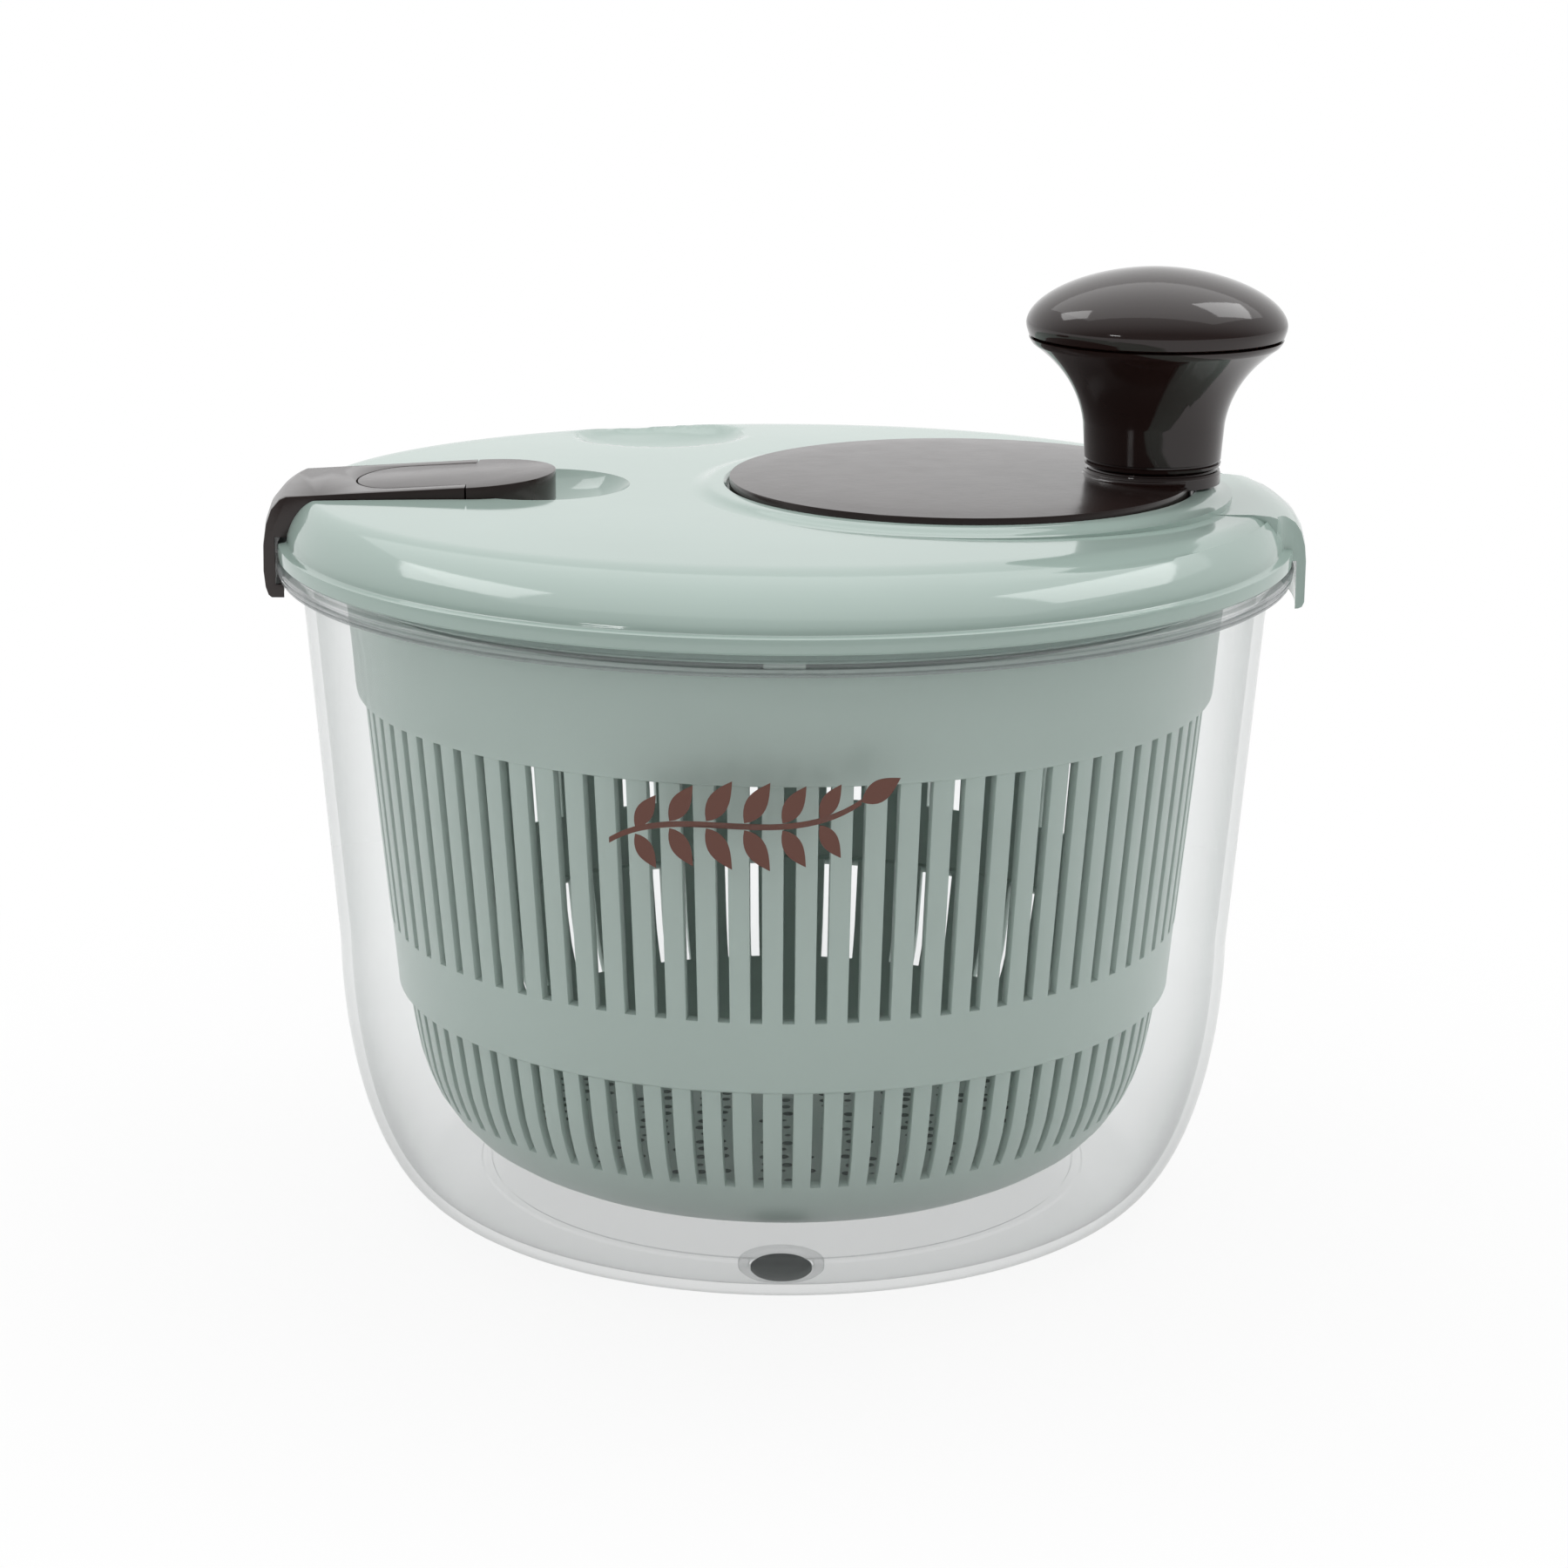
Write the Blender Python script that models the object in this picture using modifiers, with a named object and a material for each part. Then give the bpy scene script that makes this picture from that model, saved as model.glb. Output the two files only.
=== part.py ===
"""Salad spinner: a clear bowl on three feet, a slotted basket that spins in it, and a geared lid
with a crank, a turning knob and a rim latch. The origin is on the bowl's axis at the feet.
Sizes are in millimetres and become metres when a mesh is made."""

import math

import bmesh
import bpy
from mathutils import Matrix, Vector
from mathutils.geometry import interpolate_bezier

MM = 0.001

# Clearances
GAP = 0.3                # between pieces that touch
RUN = 0.6                # beside pieces that turn or swing
SEAT = 0.4               # under a turning face

# Bowl
BOWL_RIM_RADIUS = 91.7   # outside the wall, just under the flange
BOWL_WAIST_RADIUS = BOWL_RIM_RADIUS - 5.5   # where the straight wall meets the round base
BOWL_WAIST_Z = 51.4
BOWL_FLOOR_Z = 1.5
BOWL_FLOOR_RADIUS = 67.9
BOWL_WALL = 2.0
FLANGE_RADIUS = BOWL_RIM_RADIUS + 4.5
FLANGE_LOW = 122.4
FLANGE_HEIGHT = 3.5
FLANGE_STEP = 0.9        # its top edge drops by this outside the lid's brim
PIVOT_RADIUS = 3.2
FOOT_RADIUS = 5.7
FOOT_CIRCLE = 54.0
FOOT_RING_WALL = 1.7

# Basket
BASKET_RIM_RADIUS = BOWL_RIM_RADIUS - 8.2
BASKET_WALL = 1.8
BASKET_BASE_Z = 10.4
BASKET_RIM_DROP = 1.4    # below the flange's underside
SLOTS = 84
SLOT_SHARE = 0.37        # of each pitch
DOGS = 6
DOG_HALF_WIDTH = 3.6
NOTCH_DEPTH = 2.8

# Lid
BRIM_RADIUS = FLANGE_RADIUS - 0.2
BRIM_HEIGHT = 2.9
LID_HEIGHT = 11.4        # from the brim's lower edge to the flat top
LID_FALL = 1.4           # from the flat top to the crease
LEDGE_WIDTH = 2.9
CREASE_X = BRIM_RADIUS - 5.0
CREASE_Y = BRIM_RADIUS - 21.1
LID_WALL = 3.0
SKIRT_WALL = 1.6
SKIRT_DEPTH = 3.0
COLLAR_WALL = 6.0
COLLAR_HEIGHT = 1.0
RECESS_FLOOR = 2.0
LUG_HALF_WIDTH = 15.4
LUG_REACH = BRIM_RADIUS + 4.0
LUG_DROP = 8.6           # below the brim's lower edge
DIMPLE_PLACE = (-26.0, 62.0)
DIMPLE_RADIUS = 17.0
DIMPLE_DEPTH = 1.2

# Gears
TOOTH_MODULE = 1.1
CRANK_TEETH = 45
PINION_TEETH = 15
GEAR_THICKNESS = 3.2
BACKLASH = 0.25
HUB_RADIUS = 5.0
SQUARE = 6.4             # the crank hub's square end
PINION_SQUARE = 8.0
PIVOT_BOSS_RADIUS = 3.0
SCREW_RADIUS = 1.5
HOUSING_WALL = 1.6
HOUSING_FLOOR = 1.4
HOUSING_MARGIN = 9.0
PLATE_RADIUS = BASKET_RIM_RADIUS - 4.0
PLATE_WALL = 2.0

# Crank and knob
DISC_RADIUS = 43.7
DISC_THICKNESS = 3.0
DISC_CROWN = 1.0
KNOB_OFFSET = DISC_RADIUS - 7.2   # from the crank's axis to the knob's
BOSS_RADIUS = 12.9
BOSS_RISE = 2.0          # above the disc's edge
KNOB_STEM_RADIUS = 12.9
KNOB_RADIUS = 24.5
KNOB_STEM_HEIGHT = 24.1
KNOB_CAP_HEIGHT = 12.7
KNOB_WALL = 2.2
KNOB_PIN_RADIUS = 3.0
KNOB_FLOOR = 8.0

# Latch
LEVER_HALF_WIDTH = 15.6
LEVER_RAIL = 3.6
PIN_X = 9.0 - BRIM_RADIUS
LEVER_TIP_X = PIN_X + 43.3
LEVER_SHOULDER_X = LEVER_TIP_X - LEVER_HALF_WIDTH - 0.4
TONGUE_END_X = PIN_X + 5.5
LEVER_REST_RISE = 0.8    # top of the lever above the lid's flat top, at the rim
LEVER_TIP_RISE = 3.0
LEVER_THICKNESS = 3.6
CHANNEL_DEPTH = 9.9      # below the lid's flat top
PIN_RADIUS = 1.25
PIN_DROP = 4.6           # below the lid's flat top
HOOK_REACH = -BRIM_RADIUS - 4.0
HOOK_LIP = 1.2           # how far the lip reaches under the flange
LIP_DROP = 1.3           # free space between the flange and the lip
LIP_HEIGHT = 2.5
SCOOP_X = LEVER_TIP_X - 2.9
SCOOP_RADIUS = LEVER_HALF_WIDTH + 1.4
SCOOP_RISE = 1.7         # the scoop's floor above the channel's

# Heights that follow
FLANGE_TOP = FLANGE_LOW + FLANGE_HEIGHT
BRIM_LOW = FLANGE_TOP + GAP
BRIM_TOP = BRIM_LOW + BRIM_HEIGHT
LID_TOP = BRIM_LOW + LID_HEIGHT
CREASE_Z = LID_TOP - LID_FALL
CEILING = LID_TOP - LID_WALL
RECESS_Z = CEILING + RECESS_FLOOR
COLLAR_TOP = LID_TOP + COLLAR_HEIGHT
DISC_LOW = RECESS_Z + GAP
DISC_EDGE = DISC_LOW + DISC_THICKNESS
BOSS_LOW = COLLAR_TOP + SEAT
BOSS_TOP = DISC_EDGE + BOSS_RISE
KNOB_LOW = BOSS_TOP + GAP
KNOB_SEAM = KNOB_LOW + KNOB_STEM_HEIGHT
KNOB_TOP = KNOB_SEAM + GAP + KNOB_CAP_HEIGHT
GEAR_TOP = CEILING - 1.5
GEAR_LOW = GEAR_TOP - GEAR_THICKNESS
GEAR_SCREW_HEAD = 1.1
HOUSING_TOP = GEAR_LOW - GAP - GEAR_SCREW_HEAD - SEAT
HOUSING_LOW = HOUSING_TOP - HOUSING_FLOOR
HOUSING_SCREW_HEAD = 1.2
PLATE_TOP = HOUSING_LOW - GAP - HOUSING_SCREW_HEAD - SEAT
PLATE_LOW = PLATE_TOP - PLATE_WALL
BASKET_RIM_Z = FLANGE_LOW - BASKET_RIM_DROP
NOTCH_LOW = BASKET_RIM_Z - NOTCH_DEPTH
DOG_LOW = NOTCH_LOW + SEAT
BOWL_INSIDE_Z = BOWL_FLOOR_Z + BOWL_WALL
PIVOT_TOP = BASKET_BASE_Z + 3.2
CHANNEL_Z = LID_TOP - CHANNEL_DEPTH
PIN_Z = LID_TOP - PIN_DROP
LIP_TOP = FLANGE_LOW - LIP_DROP
LIP_LOW = LIP_TOP - LIP_HEIGHT
LUG_LOW = BRIM_LOW - LUG_DROP
FOOT_HEIGHT = BOWL_FLOOR_Z - GAP

# Places that follow
CRANK_X = TOOTH_MODULE * (CRANK_TEETH + PINION_TEETH) / 2
KNOB_X = CRANK_X + KNOB_OFFSET
RECESS_RADIUS = DISC_RADIUS + RUN
COLLAR_RADIUS = RECESS_RADIUS + COLLAR_WALL
GEAR_RADIUS = TOOTH_MODULE * (CRANK_TEETH + 2) / 2
PINION_RADIUS = TOOTH_MODULE * (PINION_TEETH + 2) / 2
SKIRT_RADIUS = BOWL_RIM_RADIUS - BOWL_WALL - 0.7
HUB_BORE = HUB_RADIUS + GAP
FRAME_EDGE = LEVER_HALF_WIDTH - LEVER_RAIL
FOOT_ANGLES = {"foot_front": -90, "foot_rear_right": 30, "foot_rear_left": 150}

COLOURS = {
    "clear": (0.86, 0.90, 0.90, 0.05, 0.0),
    "aqua": (0.42, 0.55, 0.50, 0.25, 0.0),
    "brown": (0.022, 0.012, 0.010, 0.18, 0.0),
    "nylon": (0.80, 0.79, 0.75, 0.45, 0.0),
    "rubber": (0.03, 0.03, 0.03, 0.8, 0.0),
    "steel": (0.60, 0.60, 0.62, 0.3, 1.0),
}


# ---------------------------------------------------------------- scene and helpers

for old in list(bpy.data.objects):
    bpy.data.objects.remove(old)

PARTS = bpy.data.collections.new("salad_spinner")
CUTTERS = bpy.data.collections.new("cutters")
for group in (PARTS, CUTTERS):
    bpy.context.scene.collection.children.link(group)


def make_material(name):
    red, green, blue, roughness, metallic = COLOURS[name]
    material = bpy.data.materials.new(name)
    material.use_nodes = True
    shader = material.node_tree.nodes["Principled BSDF"]
    shader.inputs["Base Color"].default_value = (red, green, blue, 1)
    shader.inputs["Roughness"].default_value = roughness
    shader.inputs["Metallic"].default_value = metallic
    return material


MATERIALS = {name: make_material(name) for name in COLOURS}


def empty(name, place, parent=None):
    """An axis that its pieces are parented to."""
    axis = bpy.data.objects.new(name, None)
    PARTS.objects.link(axis)
    axis.location = [value * MM for value in place]
    axis.parent = parent
    return axis


def new_object(name, mesh, material=None):
    """A part when it has a material, and a cutter when it has none."""
    obj = bpy.data.objects.new(name, mesh)
    if material:
        PARTS.objects.link(obj)
        mesh.materials.append(MATERIALS[material])
    else:
        CUTTERS.objects.link(obj)
        obj.hide_render = True
        obj.display_type = "WIRE"
    return obj


def carry(obj, axis, place):
    """Hang a piece on an axis empty, keeping it where it is in the world."""
    obj.parent = axis
    obj.location = obj.location - Vector(place) * MM
    return obj


def turned(name, profile, material=None, steps=32, centre=(0, 0), sheet=False):
    """Turn (radius, height) points about Z. The profile runs down its outer side. One that ends
    away from the axis is closed into a ring, unless it is a sheet."""
    mesh = bpy.data.meshes.new(name)
    count = len(profile)
    edges = [(i, i + 1) for i in range(count - 1)]
    if profile[-1][0] > 0 and not sheet:
        edges.append((count - 1, 0))
    mesh.from_pydata([(r * MM, 0, z * MM) for r, z in profile], edges, [])
    obj = new_object(name, mesh, material)
    obj.location = (centre[0] * MM, centre[1] * MM, 0)
    screw = obj.modifiers.new("Screw", "SCREW")
    screw.steps = screw.render_steps = steps
    screw.use_merge_vertices = True
    screw.merge_threshold = 0.00001
    return obj


def rod(name, radius, low, high, material=None, steps=24, centre=(0, 0)):
    return turned(name, [(0, high), (radius, high), (radius, low), (0, low)], material, steps, centre)


def ring(name, inner, outer, low, high, material=None, steps=24, centre=(0, 0)):
    profile = [(outer, high), (outer, low), (inner, low), (inner, high)]
    return turned(name, profile, material, steps, centre)


def prism(name, outline, low, high, material=None, upright=False):
    """Extrude a flat outline: along Z, or along Y when it is an upright (x, z) outline."""
    curve = bpy.data.curves.new(name, "CURVE")
    curve.dimensions = "2D"
    curve.fill_mode = "BOTH"
    curve.extrude = (high - low) / 2 * MM
    spline = curve.splines.new("POLY")
    spline.points.add(len(outline) - 1)
    for point, (x, y) in zip(spline.points, outline):
        point.co = (x * MM, y * MM, 0, 1)
    spline.use_cyclic_u = True
    source = bpy.data.objects.new(name + "_outline", curve)
    bpy.context.scene.collection.objects.link(source)
    if upright:
        source.rotation_euler = (math.radians(90), 0, 0)
        source.location = (0, (low + high) / 2 * MM, 0)
    else:
        source.location = (0, 0, (low + high) / 2 * MM)
    bpy.context.view_layer.update()
    mesh = bpy.data.meshes.new_from_object(source.evaluated_get(bpy.context.evaluated_depsgraph_get()))
    mesh.transform(source.matrix_world)
    bpy.data.objects.remove(source)
    work = bmesh.new()
    work.from_mesh(mesh)
    bmesh.ops.remove_doubles(work, verts=work.verts, dist=0.000001)
    bmesh.ops.recalc_face_normals(work, faces=work.faces)
    work.to_mesh(mesh)
    work.free()
    mesh.materials.clear()
    mesh.name = name
    return new_object(name, mesh, material)


def box(name, low, high, material=None, bevel=0.0):
    """A box between two corners, with rounded edges when bevel is given."""
    work = bmesh.new()
    size = [(b - a) * MM for a, b in zip(low, high)]
    centre = [(a + b) / 2 * MM for a, b in zip(low, high)]
    bmesh.ops.create_cube(work, size=1, matrix=Matrix.Translation(centre) @ Matrix.Diagonal((*size, 1)))
    mesh = bpy.data.meshes.new(name)
    work.to_mesh(mesh)
    work.free()
    obj = new_object(name, mesh, material)
    if bevel:
        edge = obj.modifiers.new("Bevel", "BEVEL")
        edge.width = bevel * MM
        edge.segments = 3
    return obj


def ball(name, centre, radii):
    """An ellipsoid cutter."""
    work = bmesh.new()
    place = Matrix.Translation([value * MM for value in centre])
    stretch = Matrix.Diagonal((radii[0] * MM, radii[1] * MM, radii[2] * MM, 1))
    bmesh.ops.create_uvsphere(work, u_segments=24, v_segments=12, radius=1, matrix=place @ stretch)
    mesh = bpy.data.meshes.new(name)
    work.to_mesh(mesh)
    work.free()
    return new_object(name, mesh)


def around(name, inner, outer, half_width, low, high):
    """One box for each drive dog or notch, spaced evenly about the bowl's axis."""
    boxes = []
    for index in range(DOGS):
        block = box("%s_%d" % (name, index + 1), (inner, -half_width, low), (outer, half_width, high))
        block.rotation_euler = (0, 0, (index + 0.5) * 2 * math.pi / DOGS)
        boxes.append(block)
    return boxes


def combine(target, operation, *others):
    """Cut, join or intersect the target with each other object in turn."""
    for other in others:
        modifier = target.modifiers.new(other.name, "BOOLEAN")
        modifier.operation = operation
        modifier.object = other
        modifier.solver = "EXACT"
    return target


def cut(target, *others):
    return combine(target, "DIFFERENCE", *others)


def join(target, *others):
    return combine(target, "UNION", *others)


def arc(centre, radius, start, stop, count):
    """Points on an arc; radius may be a pair for an elliptical one. Angles are in degrees."""
    radius_x, radius_y = radius if isinstance(radius, tuple) else (radius, radius)
    angles = [math.radians(start + (stop - start) * i / (count - 1)) for i in range(count)]
    return [(centre[0] + radius_x * math.cos(a), centre[1] + radius_y * math.sin(a)) for a in angles]


def bezier(first, first_handle, last_handle, last, count):
    points = [Vector((x, y, 0)) for x, y in (first, first_handle, last_handle, last)]
    return [(point.x, point.y) for point in interpolate_bezier(*points, count)]


# ---------------------------------------------------------------- bowl and feet

def bowl_base(inset, count):
    """The round base between the straight wall and the flat floor, set in by a wall."""
    width = BOWL_WAIST_RADIUS - BOWL_FLOOR_RADIUS
    height = BOWL_WAIST_Z - BOWL_FLOOR_Z
    centre = (BOWL_FLOOR_RADIUS, BOWL_WAIST_Z)
    return arc(centre, (width - inset, height - inset), 0, -90, count)


def make_bowl():
    flange_step = FLANGE_TOP - FLANGE_STEP
    inside_radius = BOWL_RIM_RADIUS - BOWL_WALL
    profile = [(0, BOWL_INSIDE_Z)]
    profile += reversed(bowl_base(BOWL_WALL, 6))
    profile += [(inside_radius, FLANGE_TOP)]
    profile += [(FLANGE_RADIUS - 2.4, FLANGE_TOP), (FLANGE_RADIUS - 1.6, flange_step)]
    profile += [(FLANGE_RADIUS, flange_step - 0.4), (FLANGE_RADIUS, FLANGE_LOW), (BOWL_RIM_RADIUS, FLANGE_LOW)]
    profile += bowl_base(0, 6)
    profile += [(0, BOWL_FLOOR_Z)]
    bowl = turned("bowl", profile, "clear", 48)
    join(bowl, rod("basket_pivot_post", PIVOT_RADIUS, BOWL_INSIDE_Z - 1, PIVOT_TOP, steps=20))
    inner = FOOT_RADIUS + GAP
    for name, angle in FOOT_ANGLES.items():
        turn = math.radians(angle)
        place = (FOOT_CIRCLE * math.cos(turn), FOOT_CIRCLE * math.sin(turn))
        low = FOOT_HEIGHT / 2
        join(bowl, ring(name + "_socket", inner, inner + FOOT_RING_WALL, low, BOWL_FLOOR_Z + 1, steps=20, centre=place))
        rod(name, FOOT_RADIUS, 0, FOOT_HEIGHT, "rubber", 20, place)


# ---------------------------------------------------------------- basket

def basket_profile():
    """The basket's outside from rim to base, with the row of cells under each point."""
    scale = BASKET_RIM_RADIUS / 83.5
    rows = [
        (83.5, BASKET_RIM_Z, "band"), (81.3, 99.5, "slot"), (77.1, 55.0, "band"), (73.8, 41.9, "slot"),
        (71.9, 31.0, "slot"), (68.6, 21.8, "band"), (56.4, BASKET_BASE_Z, "edge"),
    ]
    return [(radius * scale, height, row) for radius, height, row in rows]


def make_basket():
    """Turn the outside, open the slots, give the shell its wall, then cut the rim notches."""
    rows = basket_profile()
    columns = 2 * SLOTS
    outline = turned("basket_outside", [(r, z) for r, z, row in rows], steps=columns, sheet=True)
    bpy.context.view_layer.update()
    mesh = bpy.data.meshes.new_from_object(outline.evaluated_get(bpy.context.evaluated_depsgraph_get()))
    bpy.data.objects.remove(outline)
    work = bmesh.new()
    work.from_mesh(mesh)
    pitch = 2 * math.pi / SLOTS
    heights = [z * MM for r, z, row in rows]
    doomed = []
    for face in work.faces:
        middle = face.calc_center_median()
        column = int(math.floor((math.atan2(middle.y, middle.x) % (2 * math.pi)) / (pitch / 2)))
        above = sum(1 for height in heights if height > middle.z - 0.00001)
        row = rows[above - 1][2]
        if row == "slot" and column % 2 == 0:
            doomed.append(face)
    bmesh.ops.delete(work, geom=doomed, context="FACES")
    for vert in work.verts:
        radius = math.hypot(vert.co.x, vert.co.y)
        column = round((math.atan2(vert.co.y, vert.co.x) % (2 * math.pi)) / (pitch / 2)) % columns
        share = SLOT_SHARE if column % 2 else 0.0
        angle = pitch * (column // 2 + share)
        vert.co.x = radius * math.cos(angle)
        vert.co.y = radius * math.sin(angle)
    base = [edge for edge in work.edges if edge.is_boundary
            and all(abs(vert.co.z - BASKET_BASE_Z * MM) < 0.00001 for vert in edge.verts)]
    bmesh.ops.edgeloop_fill(work, edges=base)
    bmesh.ops.recalc_face_normals(work, faces=work.faces)
    work.to_mesh(mesh)
    work.free()
    mesh.name = "basket"
    basket = new_object("basket", mesh, "aqua")
    wall = basket.modifiers.new("Wall", "SOLIDIFY")
    wall.thickness = BASKET_WALL * MM
    wall.offset = -1
    wall.use_even_offset = True
    socket_top = PIVOT_TOP + GAP
    join(basket, rod("pivot_socket", PIVOT_RADIUS + 2.4, BASKET_BASE_Z + 0.5, socket_top + 1.8, steps=20))
    cut(basket, rod("pivot_bore", PIVOT_RADIUS + GAP, BASKET_BASE_Z - 2, socket_top, steps=20))
    inner, outer = BASKET_RIM_RADIUS - 3 * BASKET_WALL, BASKET_RIM_RADIUS + BASKET_WALL
    cut(basket, *around("rim_notch", inner, outer, DOG_HALF_WIDTH + RUN, NOTCH_LOW, BASKET_RIM_Z + 1))


# ---------------------------------------------------------------- lid

def lid_ring(radius_x, radius_y, height, count=60):
    return [(radius_x * math.cos(2 * math.pi * i / count), radius_y * math.sin(2 * math.pi * i / count), height)
            for i in range(count)]


def loft(name, rings, material=None):
    """A closed solid through rings of equal point counts, from the top ring down."""
    work = bmesh.new()
    loops = [[work.verts.new([value * MM for value in point]) for point in points] for points in rings]
    count = len(loops[0])
    for upper, lower in zip(loops, loops[1:]):
        for i in range(count):
            after = (i + 1) % count
            work.faces.new((upper[i], lower[i], lower[after], upper[after]))
    work.faces.new(loops[0])
    work.faces.new(list(reversed(loops[-1])))
    bmesh.ops.recalc_face_normals(work, faces=work.faces)
    mesh = bpy.data.meshes.new(name)
    work.to_mesh(mesh)
    work.free()
    return new_object(name, mesh, material)


def shoulder(crease_x, crease_y, edge, high, low, count):
    """Rings from an oval crease down a convex quarter round to a circular edge."""
    rings = []
    for i in range(count):
        turn = math.radians(90 * (1 - i / (count - 1)))
        out = math.cos(turn)
        rings.append(lid_ring(crease_x + (edge - crease_x) * out, crease_y + (edge - crease_y) * out,
                              low + (high - low) * math.sin(turn)))
    return rings


def lid_outside():
    ledge = BRIM_RADIUS - LEDGE_WIDTH
    flat = lid_ring(CREASE_X * 0.6, CREASE_Y * 0.6, LID_TOP)
    dome = shoulder(CREASE_X, CREASE_Y, ledge, CREASE_Z, BRIM_TOP + 0.4, 5)
    brim = [lid_ring(BRIM_RADIUS, BRIM_RADIUS, BRIM_TOP), lid_ring(BRIM_RADIUS, BRIM_RADIUS, BRIM_LOW)]
    skirt = [lid_ring(SKIRT_RADIUS, SKIRT_RADIUS, BRIM_LOW),
             lid_ring(SKIRT_RADIUS, SKIRT_RADIUS, BRIM_LOW - SKIRT_DEPTH)]
    return [flat] + dome + brim + skirt


def channel_solids(name, margin):
    """The lever's channel and the finger scoop, larger by a margin for the wall around them."""
    half = LEVER_HALF_WIDTH + RUN + margin
    tip = LEVER_TIP_X - LEVER_HALF_WIDTH
    outline = arc((tip, 0), half, -90, 90, 15) + [(-LUG_REACH - 20, half), (-LUG_REACH - 20, -half)]
    channel = prism(name + "_channel", outline, CHANNEL_Z - margin, LID_TOP + 20)
    depth = LID_TOP + 2 - CHANNEL_Z - SCOOP_RISE
    radii = (SCOOP_RADIUS + margin, SCOOP_RADIUS + margin, depth + margin)
    return channel, ball(name + "_scoop", (SCOOP_X, 0, LID_TOP + 2), radii)


def housing_screw_places():
    outer = GEAR_RADIUS + RUN + HOUSING_WALL + HOUSING_MARGIN / 2
    inner = PINION_RADIUS + RUN + HOUSING_WALL + HOUSING_MARGIN / 2
    places = []
    for x, radius, angle in ((CRANK_X, outer, 55), (CRANK_X, outer, -55), (0, inner, 140), (0, inner, -140)):
        turn = math.radians(angle)
        places.append((x + radius * math.cos(turn), radius * math.sin(turn)))
    return places


def make_lid():
    crank = (CRANK_X, 0)
    lid = loft("lid_cover", lid_outside(), "aqua")
    chamfer = [(0, COLLAR_TOP), (COLLAR_RADIUS - 1.4, COLLAR_TOP), (COLLAR_RADIUS, COLLAR_TOP - 1.0),
               (COLLAR_RADIUS, BRIM_TOP), (0, BRIM_TOP)]
    collar = turned("collar", chamfer, steps=56, centre=crank)
    lug = box("lug", (CREASE_X - 12, -LUG_HALF_WIDTH, LUG_LOW), (LUG_REACH, LUG_HALF_WIDTH, CREASE_Z - 0.6), bevel=2.6)
    cut(lug, rod("flange_room", FLANGE_RADIUS + 0.5, LUG_LOW - 5, BRIM_LOW + 0.5, steps=90))
    join(lid, collar, lug)
    inner_edge = SKIRT_RADIUS - SKIRT_WALL
    ceiling = shoulder(CREASE_X - 5, CREASE_Y - 5, inner_edge, CEILING, BRIM_TOP, 4)
    hollow = loft("lid_hollow", ceiling + [lid_ring(inner_edge, inner_edge, LUG_LOW - 5)])
    cut(hollow, *channel_solids("wall_of", 1.6))
    cut(lid, rod("crank_recess", RECESS_RADIUS, RECESS_Z, COLLAR_TOP + 5, steps=64, centre=crank))
    cut(lid, *channel_solids("lever", 0))
    spread = 1.18
    lift = math.sqrt(1 - 1 / spread ** 2)
    dish = DIMPLE_DEPTH / (1 - lift)
    dimple_z = LID_TOP - LID_FALL * 0.7 + dish * lift
    cut(lid, ball("thumb_dimple", (*DIMPLE_PLACE, dimple_z), (DIMPLE_RADIUS * spread, DIMPLE_RADIUS * spread, dish)))
    cut(lid, hollow)
    join(lid, rod("rotor_pivot_boss", PIVOT_BOSS_RADIUS, PLATE_LOW - 0.7, CEILING + 1, steps=20))
    screw_holes = []
    for index, place in enumerate(housing_screw_places()):
        name = "housing_boss_%d" % (index + 1)
        join(lid, rod(name, 3.0, HOUSING_TOP + GAP, CEILING + 1, steps=12, centre=place))
        screw_holes.append(rod(name + "_hole", 1.0 + GAP, HOUSING_TOP - 1, CEILING - 1, steps=10, centre=place))
    cut(lid, *screw_holes)
    cut(lid, rod("rotor_pivot_bore", SCREW_RADIUS + GAP, PLATE_LOW - 5, GEAR_LOW + 1, steps=12))
    cut(lid, rod("crank_bore", HUB_RADIUS + 2 + GAP, CEILING - 2, RECESS_Z + 2, steps=24, centre=crank))
    pin_hole = prism("latch_pin_bore", arc((PIN_X, PIN_Z), PIN_RADIUS + GAP, 0, 345, 16),
                     -LEVER_HALF_WIDTH - RUN - 1.3, LEVER_HALF_WIDTH + RUN + 1.3, upright=True)
    cut(lid, pin_hole)


# ---------------------------------------------------------------- gears and drive

def gear_outline(teeth, centre_x, phase, thin):
    """Straight-flanked teeth on a pitch circle, each thinner by the backlash."""
    pitch_radius = TOOTH_MODULE * teeth / 2
    tip = pitch_radius + TOOTH_MODULE * 0.9
    root = pitch_radius - TOOTH_MODULE * 1.2
    pitch = 2 * math.pi / teeth
    half_tip = pitch * 0.13 - thin / tip / 2
    half_root = pitch * 0.36 - thin / root / 2
    points = []
    for tooth in range(teeth):
        middle = phase + tooth * pitch
        for radius, angle in ((root, -half_root), (tip, -half_tip), (tip, half_tip), (root, half_root)):
            points.append((centre_x + radius * math.cos(middle + angle), radius * math.sin(middle + angle)))
    return points


def square_hole(name, half, low, high, centre=(0, 0)):
    return box(name, (centre[0] - half, centre[1] - half, low), (centre[0] + half, centre[1] + half, high))


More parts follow.
